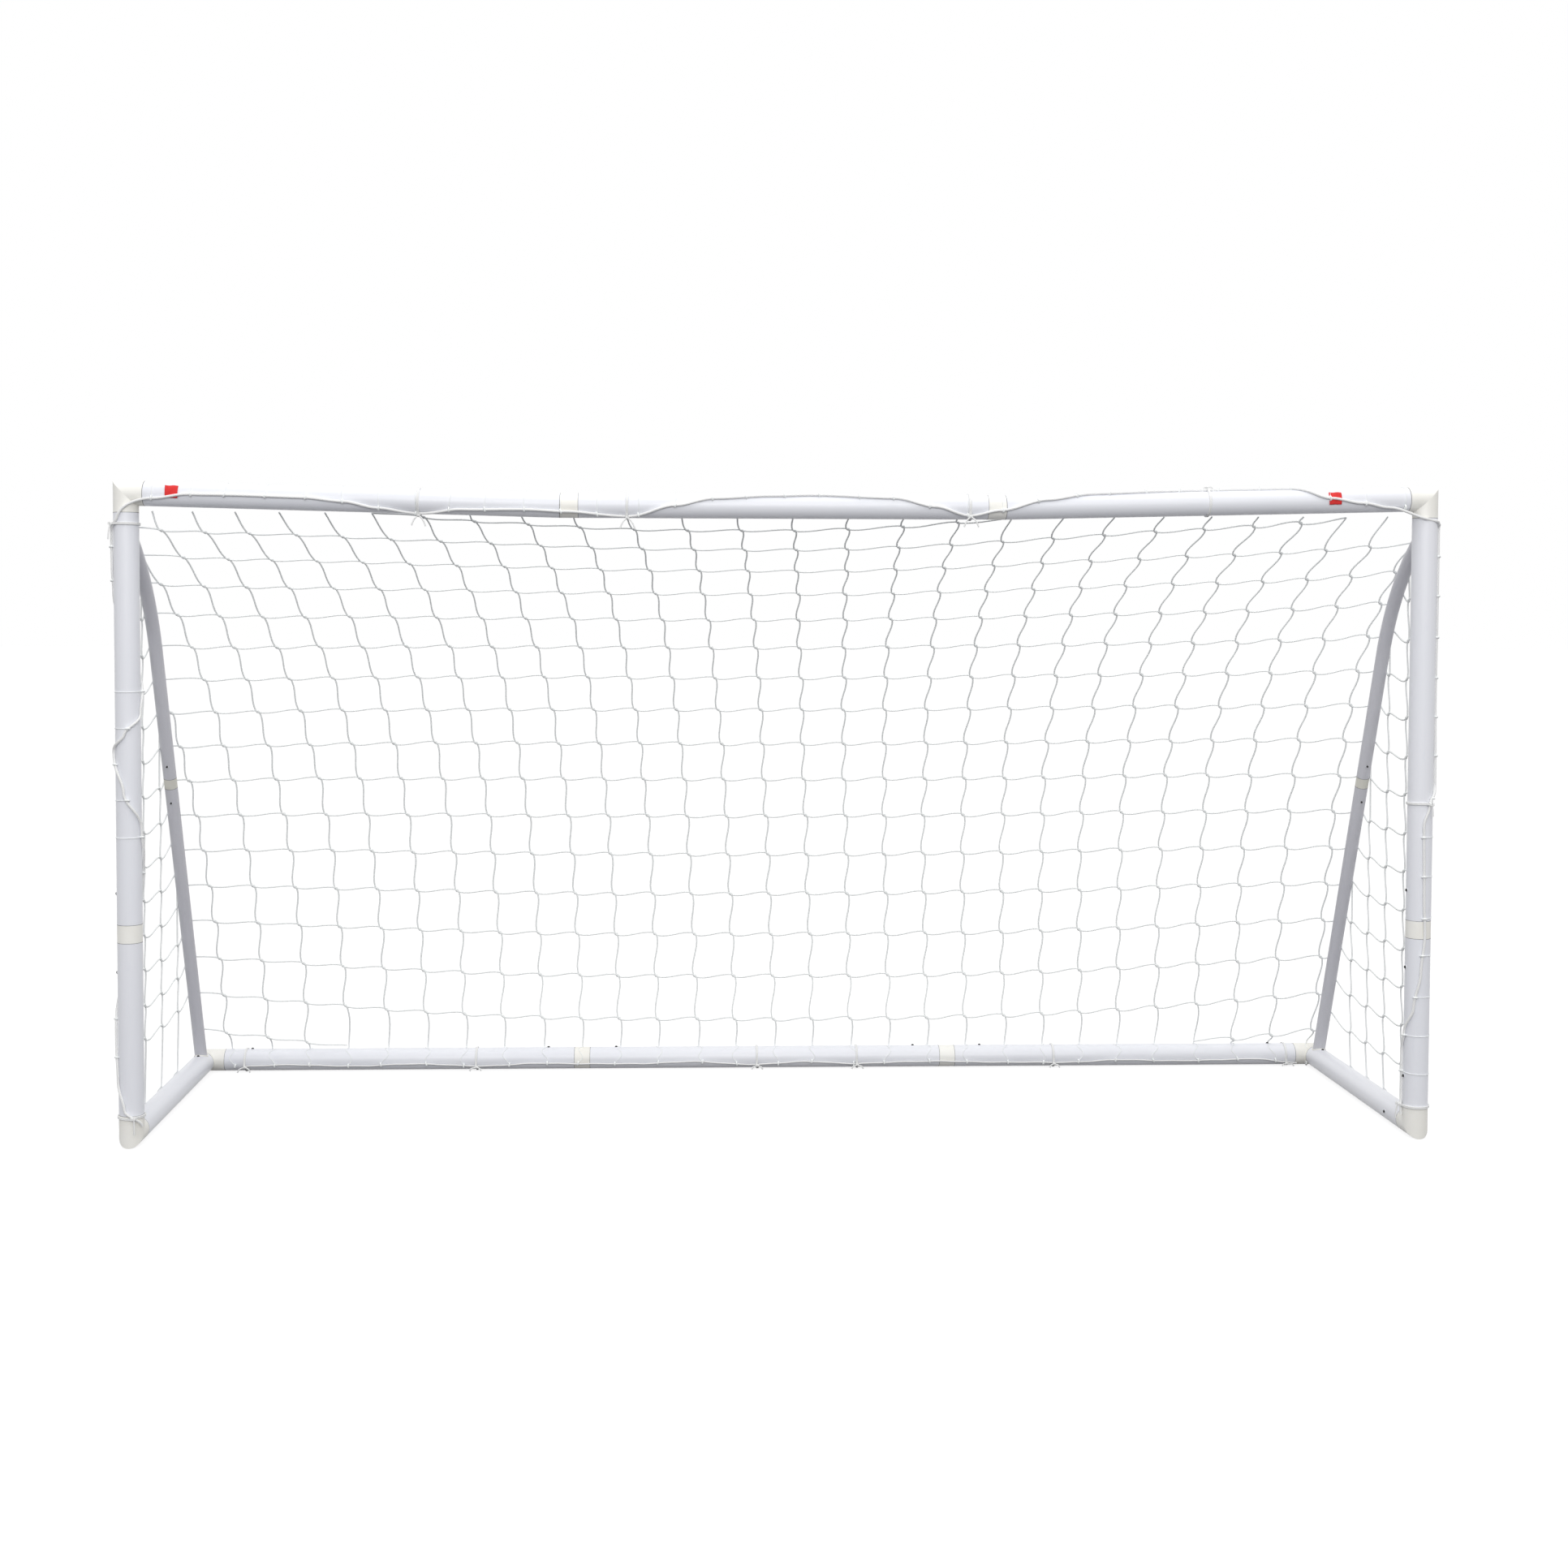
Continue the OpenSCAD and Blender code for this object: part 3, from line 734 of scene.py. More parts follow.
def link(name: str, mesh: bpy.types.Mesh) -> bpy.types.Object:
    """Puts a mesh in the scene as an object at the origin.

    Args:
        name: The object's name.
        mesh: Its mesh.

    Returns:
        The new object.
    """
    obj = bpy.data.objects.new(name, mesh)
    bpy.context.scene.collection.objects.link(obj)
    return obj


class Trees:
    """The Geometry Nodes trees that lay cords and repeat shapes."""

    def __init__(self) -> None:
        """Builds both trees."""
        self.cords = self._cords()
        self.repeats = self._repeats()

    @staticmethod
    def _new(name: str, inputs: Sequence[tuple[str, str]]) -> tuple[Graph, bpy.types.Node]:
        """A tree with its named inputs, and its Group Input node.

        Args:
            name: The tree's name.
            inputs: Each input's name and socket type.

        Returns:
            The graph and its input node.
        """
        tree = bpy.data.node_groups.new(name, "GeometryNodeTree")
        tree.interface.new_socket("Geometry", in_out="INPUT", socket_type="NodeSocketGeometry")
        tree.interface.new_socket("Geometry", in_out="OUTPUT", socket_type="NodeSocketGeometry")
        for label, kind in inputs:
            tree.interface.new_socket(label, in_out="INPUT", socket_type=kind)
        graph = Graph(tree)
        return graph, graph.add("NodeGroupInput")

    @staticmethod
    def _named(g: Graph, name: str, kind: str) -> bpy.types.NodeSocket:
        """An attribute of the geometry, by name.

        Args:
            g: The graph.
            name: The attribute's name.
            kind: Its data type.

        Returns:
            The attribute's socket.
        """
        node = g.add(
            "GeometryNodeInputNamedAttribute", {"data_type": kind}, {"Name": name}
        )
        return node.outputs["Attribute"]

    def _cords(self) -> bpy.types.NodeTree:
        """Loose edges become round cords that know the place along and round them."""
        g, given = self._new(
            "lay_cords",
            [("Sides", "NodeSocketInt"), ("Cord Material", "NodeSocketMaterial")],
        )
        curve = g.add("GeometryNodeMeshToCurve", inputs={0: given.outputs["Geometry"]})
        spline = g.add("GeometryNodeSplineParameter")
        along = g.add(
            "GeometryNodeStoreNamedAttribute",
            {"data_type": "FLOAT", "domain": "POINT"},
            {"Geometry": curve.outputs[0], "Name": "along", "Value": spline.outputs["Length"]},
        )
        thick = g.add(
            "GeometryNodeSetCurveRadius",
            inputs={"Curve": along.outputs[0], "Radius": self._named(g, "girth", "FLOAT")},
        )
        circle = g.add(
            "GeometryNodeCurvePrimitiveCircle",
            inputs={"Resolution": given.outputs["Sides"], "Radius": 1.0},
        )
        ring = g.add(
            "GeometryNodeStoreNamedAttribute",
            {"data_type": "FLOAT_VECTOR", "domain": "POINT"},
            {
                "Geometry": circle.outputs["Curve"],
                "Name": "ring",
                "Value": g.add("GeometryNodeInputPosition").outputs[0],
            },
        )
        sweep = {
            "Curve": thick.outputs[0],
            "Profile Curve": ring.outputs[0],
            "Fill Caps": True,
        }
        mesh = g.add("GeometryNodeCurveToMesh", inputs=sweep)
        if "Scale" in mesh.inputs:
            g.tree.links.new(self._named(g, "girth", "FLOAT"), mesh.inputs["Scale"])
        self._end(g, mesh.outputs[0], given.outputs["Cord Material"])
        return g.tree

    def _repeats(self) -> bpy.types.NodeTree:
        """Loose points become copies of one shape, turned and sized by their attributes."""
        g, given = self._new(
            "repeat_shape",
            [("Shape", "NodeSocketObject"), ("Shape Material", "NodeSocketMaterial")],
        )
        shape = g.add(
            "GeometryNodeObjectInfo",
            {"transform_space": "ORIGINAL"},
            {"Object": given.outputs["Shape"]},
        )
        turn = g.add(
            "FunctionNodeEulerToRotation", inputs={0: self._named(g, "turn", "FLOAT_VECTOR")}
        )
        copies = g.add(
            "GeometryNodeInstanceOnPoints",
            inputs={
                "Points": given.outputs["Geometry"],
                "Instance": shape.outputs["Geometry"],
                "Rotation": turn.outputs[0],
                "Scale": self._named(g, "size", "FLOAT"),
            },
        )
        self._end(g, copies.outputs[0], given.outputs["Shape Material"])
        return g.tree

    @staticmethod
    def _end(g: Graph, made: bpy.types.NodeSocket, material: bpy.types.NodeSocket) -> None:
        """Ends a tree: real mesh, smooth, with its material.

        Args:
            g: The graph.
            made: The geometry that it made.
            material: The material's socket.
        """
        real = g.add("GeometryNodeRealizeInstances", inputs={0: made})
        smooth = g.add("GeometryNodeSetShadeSmooth", inputs={0: real.outputs[0]})
        painted = g.add(
            "GeometryNodeSetMaterial",
            inputs={"Geometry": smooth.outputs[0], "Material": material},
        )
        g.add("NodeGroupOutput", inputs={0: painted.outputs[0]})

    @staticmethod
    def _run(
        obj: bpy.types.Object, tree: bpy.types.NodeTree, values: Mapping[str, object]
    ) -> bpy.types.Object:
        """Runs a tree on an object and leaves its plain result.

        Args:
            obj: The object that carries the tree's points or lines.
            tree: The tree.
            values: A value for each of its named inputs.

        Returns:
            The object, with a plain mesh and no modifier.
        """
        modifier = obj.modifiers.new(tree.name, "NODES")
        modifier.node_group = tree
        for item in tree.interface.items_tree:
            if item.item_type == "SOCKET" and item.in_out == "INPUT" and item.name in values:
                modifier[item.identifier] = values[item.name]
        bpy.context.view_layer.update()
        graph = bpy.context.evaluated_depsgraph_get()
        mesh = bpy.data.meshes.new_from_object(
            obj.evaluated_get(graph), preserve_all_data_layers=True, depsgraph=graph
        )
        obj.modifiers.clear()
        spare = obj.data
        obj.data = mesh
        mesh.name = obj.name
        bpy.data.meshes.remove(spare)
        return obj

    def cord_piece(
        self, name: str, strands: Strands, sides: int, material: bpy.types.Material
    ) -> bpy.types.Object:
        """Lays cords along lines.

        Args:
            name: The piece's name.
            strands: The lines.
            sides: How many sides each cord has.
            material: Its finish.

        Returns:
            The piece.
        """
        values = {"Sides": sides, "Cord Material": material}
        return self._run(strands.to_object(name), self.cords, values)

    def repeat_piece(
        self,
        name: str,
        places: Places,
        shape: bpy.types.Object,
        material: bpy.types.Material,
    ) -> bpy.types.Object:
        """Repeats a shape at places.

        Args:
            name: The piece's name.
            places: Where the copies go.
            shape: The shape, which is left as it is.
            material: The copies' finish.

        Returns:
            The piece.
        """
        values = {"Shape": shape, "Shape Material": material}
        return self._run(places.to_object(name), self.repeats, values)


def keep(obj: bpy.types.Object, slot: str, *stands_for: str) -> bpy.types.Object:
    """Seats a finished piece on the frame.

    Args:
        obj: The piece.
        slot: The record's material slot that the piece belongs to; not used.
        stands_for: The model's nodes that it replaces.

    Returns:
        The piece.
    """
    for face in obj.data.polygons:
        face.use_smooth = True
    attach(obj, BODY)
    if stands_for:
        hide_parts(*stands_for)
    log.info("%s: %d faces", obj.name, len(obj.data.polygons))
    return obj


def turned_shape(name: str, outline: Sequence[Pair], steps: int) -> bpy.types.Object:
    """A closed ring or bead turned about Z.

    Args:
        name: Its name.
        outline: Radius and height of each corner of its cross-section, anticlockwise.
        steps: How many steps go round.

    Returns:
        The shape, which the trees repeat.
    """
    count = len(outline)
    points = [
        (r * math.cos(a), r * math.sin(a), z)
        for i in range(steps)
        for a in [math.tau * i / steps]
        for r, z in outline
    ]
    faces = [
        (
            i * count + k,
            (i + 1) % steps * count + k,
            (i + 1) % steps * count + (k + 1) % count,
            i * count + (k + 1) % count,
        )
        for i in range(steps)
        for k in range(count)
    ]
    mesh = bpy.data.meshes.new(name)
    mesh.from_pydata(points, [], faces)
    return link(name, mesh)


def drop(*shapes: bpy.types.Object) -> None:
    """Takes helper shapes out of the scene again."""
    for shape in shapes:
        bpy.data.objects.remove(shape)


# ---- Where things are --------------------------------------------------------------------


@dataclass
class Plan:
    """The goal's main lines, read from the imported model, in metres."""

    tube_r: float
    post_x: float
    front_y: float
    rear_y: float
    top_z: float
    sag_z: float
    bar_z: float
    brace_r: float
    coupler_x: float
    collar: float = 50 * MM
    top_leg: float = 52 * MM
    foot_up: float = 55 * MM
    foot_back: float = 50 * MM
    rear_in: float = 65 * MM
    rear_side: float = 40 * MM
    post_coupler_z: float = 591 * MM

    @classmethod
    def read(cls) -> "Plan":
        """Reads the plan from the model's node boxes."""
        post_low, post_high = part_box("right_post_lower_tube")
        rear_low, rear_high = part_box("rear_bar_tube_middle")
        bar_low, bar_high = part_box("crossbar_tube_middle")
        corner_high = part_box("right_top_corner")[1]
        brace_low, brace_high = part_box("right_stanchion_lower")
        tube_r = (rear_high.z - rear_low.z) / 2
        return cls(
            tube_r=tube_r,
            post_x=(post_low.x + post_high.x) / 2,
            front_y=(post_low.y + post_high.y) / 2,
            rear_y=(rear_low.y + rear_high.y) / 2,
            top_z=corner_high.z - tube_r,
            sag_z=(bar_low.z + bar_high.z) / 2,
            bar_z=(rear_low.z + rear_high.z) / 2,
            brace_r=(brace_high.x - brace_low.x) / 2,
            coupler_x=bar_high.x + cls.collar / 2,
        )

    def crossbar_z(self, x: float) -> float:
        """Height of the crossbar's centre line at a place across the goal.

        Args:
            x: The place across the goal.

        Returns:
            The height.
        """
        outer, inner = self.post_x - self.top_leg, self.coupler_x + self.collar / 2
        share = max(0.0, min(1.0, (outer - abs(x)) / (outer - inner)))
        return self.top_z - (self.top_z - self.sag_z) * share

    def round_crossbar(self, x: float, angle: float, off: float) -> Vector:
        """A point beside the crossbar.

        Args:
            x: Its place across the goal.
            angle: Degrees upwards from the bar's front.
            off: Its distance from the bar's centre line.

        Returns:
            The point.
        """
        a = math.radians(angle)
        return Vector(
            (x, self.front_y - off * math.cos(a), self.crossbar_z(x) + off * math.sin(a))
        )

    def round_rear_bar(self, x: float, angle: float, off: float) -> Vector:
        """A point beside the rear bar, by degrees upwards from its front.

        Args:
            x: The place across the goal.
            angle: Degrees.
            off: Distance from the bar's centre line.

        Returns:
            The point.
        """
        a = math.radians(angle)
        z = max(self.bar_z + off * math.sin(a), 1.6 * MM)
        return Vector((x, self.rear_y - off * math.cos(a), z))

    def round_post(self, side: Side, z: float, angle: float, off: float) -> Vector:
        """A point beside a post.

        Args:
            side: Which post.
            z: Its height.
            angle: Degrees from the post's front towards the outside of the goal.
            off: Its distance from the post's centre line.

        Returns:
            The point.
        """
        a = math.radians(angle)
        x = side.value * (self.post_x + off * math.sin(a))
        return Vector((x, self.front_y - off * math.cos(a), z))

    def round_side_bar(self, side: Side, y: float, angle: float, off: float) -> Vector:
        """A point beside a side bar, by degrees upwards from its outer face.

        Args:
            side: Which side bar.
            y: The place from front to back.
            angle: Degrees.
            off: Distance from the bar's centre line.

        Returns:
            The point.
        """
        a = math.radians(angle)
        x = side.value * (self.post_x + off * math.cos(a))
        return Vector((x, y, max(self.bar_z + off * math.sin(a), 1.6 * MM)))


@dataclass
class Brace:
    """The slanting brace's centre line in the plane of a post, from its foot up."""

    plan: Plan
    foot_inset: float = 65 * MM
    drop: float = 112 * MM
    bend_r: float = 700 * MM
    bend: float = math.radians(34.6)
    coupler_z: float = 965 * MM
    collar: float = 32 * MM
    foot: Vector = field(init=False)
    lean: float = field(init=False)
    run: float = field(init=False)

    def __post_init__(self) -> None:
        """Works out the lean and the length of the straight run."""
        p = self.plan
        self.foot = Vector((p.rear_y - self.foot_inset, 2 * p.tube_r))
        head = Vector((p.front_y + p.tube_r, p.top_z - self.drop))
        span = head - self.foot
        side = self.bend_r * (1 - math.cos(self.bend))
        self.run = math.sqrt(span.length_squared - side**2) - self.bend_r * math.sin(self.bend)
        self.lean = math.atan2(-span.x, span.y) - math.asin(side / span.length)

    @property
    def coupler_t(self) -> float:
        """Distance along the brace from its foot to its coupler."""
        return (self.coupler_z - self.foot.y) / math.cos(self.lean)

    @property
    def length(self) -> float:
        """Length of the line from the foot to the post."""
        return self.run + self.bend_r * self.bend

    def at(self, t: float, off: float = 0.0) -> Vector:
        """A point of the line, or beside it towards the back of the goal.

        Args:
            t: Distance along the line.
            off: Distance behind it.

        Returns:
            The point's Y and Z.
        """
        lean = self.lean
        if t <= self.run:
            line = self.foot + t * Vector((-math.sin(lean), math.cos(lean)))
            return line + off * Vector((math.cos(lean), math.sin(lean)))
        a = lean + (t - self.run) / self.bend_r
        start = self.foot + self.run * Vector((-math.sin(lean), math.cos(lean)))
        arc = Vector((-(math.cos(lean) - math.cos(a)), math.sin(a) - math.sin(lean)))
        return start + self.bend_r * arc + off * Vector((math.cos(a), math.sin(a)))


class Line:
    """An open line in the YZ plane that is followed by the share of its length."""

    def __init__(self, points: Sequence[Vector]) -> None:
        """Measures the line.

        Args:
            points: The line's points, in order.
        """
        self.points = [Vector(p) for p in points]
        self.marks = [0.0]
        for a, b in zip(self.points, self.points[1:]):
            self.marks.append(self.marks[-1] + (b - a).length)

    @property
    def length(self) -> float:
        """The line's length."""
        return self.marks[-1]

    def at(self, share: float) -> Vector:
        """The point at a share of the length, from 0 to 1.

        Args:
            share: The share.

        Returns:
            The point.
        """
        far = max(0.0, min(1.0, share)) * self.length
        for i in range(1, len(self.marks)):
            if far <= self.marks[i] or i == len(self.marks) - 1:
                step = self.marks[i] - self.marks[i - 1]
                return self.points[i - 1].lerp(self.points[i], (far - self.marks[i - 1]) / step)
        return self.points[-1]


@dataclass
class NetShape:
    """The surface that the back and roof of the net hang on."""

    plan: Plan
    brace: Brace
    roof_back: float = 415 * MM
    roof_drop: float = 236 * MM
    billow_back: float = 80 * MM
    billow_up: float = 1083 * MM
    power: float = 3.3
    clear: float = 1.6 * MM
    edge: Line = field(init=False)
    middle: Line = field(init=False)
    edge_x: float = field(init=False)

    def __post_init__(self) -> None:
        """Lays out the net's edge line and its middle line."""
        p, b = self.plan, self.brace
        foot = Vector((p.rear_y - 10 * MM, 2 * p.tube_r + 1 * MM))
        off = b.plan.brace_r + self.clear
        start_y = p.front_y + p.tube_r + 2 * MM
        bend = [b.at(b.length - k / 12 * (b.length - b.run), off) for k in range(13)]
        self.edge = Line([Vector((start_y, p.top_z - p.tube_r)), *bend, b.at(0, off), foot])
        start = Vector((start_y, p.sag_z - p.tube_r / 2))
        turn = Vector((start.x + self.roof_back, p.top_z - self.roof_drop))
        low = Vector((foot.x + self.billow_back, foot.y + self.billow_up))
        self.middle = Line([self._bezier(start, turn, low, foot, k / 40) for k in range(41)])
        self.edge_x = p.post_x + p.brace_r

    @staticmethod
    def _bezier(a: Vector, b: Vector, c: Vector, d: Vector, t: float) -> Vector:
        """A point on a cubic curve through a and d.

        Args:
            a: Its start.
            b: Its first handle.
            c: Its second handle.
            d: Its end.
            t: The place on it, from 0 to 1.

        Returns:
            The point.
        """
        s = 1 - t
        return a * s**3 + b * (3 * s * s * t) + c * (3 * s * t * t) + d * t**3

    def at(self, x: float, v: float) -> Vector:
        """A point of the net.

        Args:
            x: Its place across the goal, in metres.
            v: Its share of the way from the crossbar to the rear bar.

        Returns:
            The point.
        """
        u = max(-1.0, min(1.0, x / self.edge_x))
        share = 1 - abs(u) ** self.power
        yz = self.edge.at(v).lerp(self.middle.at(v), share)
        return Vector((u * self.edge_x, yz.x, yz.y))


# ---- The tube frame ----------------------------------------------------------------------


@dataclass
class TubeFrame:
    """The tubes, fittings and buttons: the model's own nodes, dressed, with their trims."""

    plan: Plan
    brace: Brace
    nodes: Mapping[str, bpy.types.Object]
    joints: Sequence[Mapping[str, object]]
    finishes: Finishes
    trees: Trees
    seam_w: float = 0.5 * MM

    def build(self) -> None:
        """Dresses the nodes and adds the trims."""
        self._dress()
        self._seams()
        self._button_rings()
        self._foot_rings()

    def _finish_of(self, name: str) -> bpy.types.Material:
        """The finish of a node, by what the node is.

        Args:
            name: The node's name.

        Returns:
            The material.
        """
        f = self.finishes
        if name.startswith("button_"):
            return f.button
        if name == "clip_springs":
            return f.steel
        if name == "stanchion_couplers":
            return f.small_collar
        if "coupler" in name or "corner" in name:
            return f.moulded
        if "stanchion" in name:
            return f.brace
        if "side_bar" in name:
            return f.tube_y
        return f.tube_z if "post" in name else f.tube_x

    def _dress(self) -> None:
        """Gives every visible node of the frame its finish."""
        for name, node in self.nodes.items():
            if name.startswith(("net_", "border_", "rope_")):
                continue
            node.data.materials.clear()
            node.data.materials.append(self._finish_of(name))
        log.info("dressed %d nodes", len(self.nodes))

    def _seams(self) -> None:
        """Shadow lines where a tube's end meets its fitting."""
        p, b = self.plan, self.brace
        w, h = 0.16 * MM, self.seam_w
        places = Places()
        across = Vector((1, 0, 0))
        for side in Side:
            s = side.value
            slope = unit(
                Vector((p.coupler_x + p.collar / 2, 0, p.sag_z))
                - Vector((p.post_x - p.top_leg, 0, p.top_z))
            )
            tilted = Vector((s * slope.x, 0, slope.z))
            for x, axis in (
                (p.post_x - p.top_leg, tilted),
                (p.coupler_x + p.collar / 2, tilted),
                (p.coupler_x - p.collar / 2, across),
            ):
                places.put(Vector((s * x, p.front_y, p.crossbar_z(x))), BACK, axis)
            for x in (p.post_x - p.rear_in, p.coupler_x + p.collar / 2, p.coupler_x - p.collar / 2):
                places.put(Vector((s * x, p.rear_y, p.bar_z)), BACK, across)
            half = p.collar / 2
            for z in (
                p.bar_z + p.foot_up,
                p.post_coupler_z - half,
                p.post_coupler_z + half,
                p.top_z - p.top_leg,
            ):
                places.put(Vector((s * p.post_x, p.front_y, z)), across, UP)
            for y in (p.front_y + p.foot_back, p.rear_y - p.rear_side):
                places.put(Vector((s * p.post_x, y, p.bar_z)), across, BACK)
        ring = turned_shape("seam_shape", self._band(p.tube_r, w, h), 64)
        keep(
            self.trees.repeat_piece("joint_seams", places, ring, self.finishes.seam),
            "moulded_cream",
        )
        small = Places()
        for side in Side:
            for t in (b.coupler_t - b.collar / 2, b.coupler_t + b.collar / 2):
                y, z = b.at(t)
                slant = Vector((0, -math.sin(b.lean), math.cos(b.lean)))
                small.put(Vector((side.value * p.post_x, y, z)), across, slant)
        thin = turned_shape("brace_seam_shape", self._band(p.brace_r, w, h), 48)
        keep(
            self.trees.repeat_piece("brace_seams", small, thin, self.finishes.seam),
            "moulded_cream",
        )
        drop(ring, thin)

    @staticmethod
    def _band(radius: float, proud: float, half: float) -> list[Pair]:
        """A flat band's cross-section round a tube.

        Args:
            radius: The tube's radius.
            proud: How far the band stands out.
            half: Half of its width.

        Returns:
            The cross-section.
        """
        low, high = radius - 0.3 * MM, radius + proud
        return [(low, -half), (high, -half), (high, half), (low, half)]

    def _button_rings(self) -> None:
        """White collars that the black buttons sit in."""
        p = self.plan
        places, small = Places(), Places()
        for joint in self.joints:
            name = "button_" + str(joint["name"]).removesuffix("_press")
            out = -Vector(joint["axis"])
            corners = [v.co for v in self.nodes[name].data.vertices]
            top = max(c.dot(out) for c in corners)
            crown = [c for c in corners if c.dot(out) > top - 0.4 * MM]
            tip = sum(crown, Vector()) / len(crown)
            brace = "stanchion" in name
            radius = p.brace_r if brace else p.tube_r
            proud = 4 * MM if brace else 4.5 * MM
            side_way = UP if abs(out.z) < 0.9 else Vector((1, 0, 0))
            foot = tip - out * (tip.dot(out) - top + proud)
            (small if brace else places).put(foot, side_way, out)
            log.debug("%s ring at radius %.3f", name, radius)
        ring = turned_shape("ring_shape", self._bead(4.25, 6.3, 0.9), 32)
        thin = turned_shape("small_ring_shape", self._bead(3.2, 4.7, 0.9), 28)
        keep(
            self.trees.repeat_piece("button_rings", places, ring, self.finishes.tube_z),
            "tube_white",
        )
        keep(
            self.trees.repeat_piece("brace_button_rings", small, thin, self.finishes.tube_z),
            "tube_white",
        )
        drop(ring, thin)

    @staticmethod
    def _bead(inner: float, outer: float, high: float) -> list[Pair]:
        """A rounded ring's cross-section, in metres from sizes in millimetres.

        Args:
            inner: Its inner radius.
            outer: Its outer radius.
            high: Its height.

        Returns:
            The cross-section.
        """
        mid = (inner + outer) / 2
        return [
            (inner * MM, -1.2 * MM),
            (outer * MM, -1.2 * MM),
            (outer * MM, high * 0.35 * MM),
            ((outer - 0.3) * MM, high * 0.8 * MM),
            (mid * MM, high * MM),
            ((inner + 0.3) * MM, high * 0.8 * MM),
            (inner * MM, high * 0.35 * MM),
        ]

    def _foot_rings(self) -> None:
        """Grommets where the braces enter the side bars."""
        p, b = self.plan, self.brace
        strands = Strands()
        hug, bead = p.brace_r + 1.6 * MM, 2.2 * MM
        slant = Vector((0, -math.sin(b.lean), math.cos(b.lean)))
        back = Vector((0, math.cos(b.lean), math.sin(b.lean)))
        for side in Side:
            centre = Vector((side.value * p.post_x, b.foot.x, b.foot.y))
            line = []
            for k in range(49):
                a = math.tau * k / 48
                beside = centre + hug * (math.cos(a) * Vector((1, 0, 0)) + math.sin(a) * back)
                dx = beside.x - side.value * p.post_x
                want = p.bar_z + math.sqrt(p.tube_r**2 - dx * dx) + 0.6 * MM
                line.append(beside + slant * ((want - beside.z) / slant.z))
            strands.lay(line, bead)
        keep(
            self.trees.cord_piece("foot_grommets", strands, 10, self.finishes.moulded),
            "moulded_cream",
        )


UP = Vector((0, 0, 1))
BACK = Vector((0, 1, 0))


# ---- Rope --------------------------------------------------------------------------------


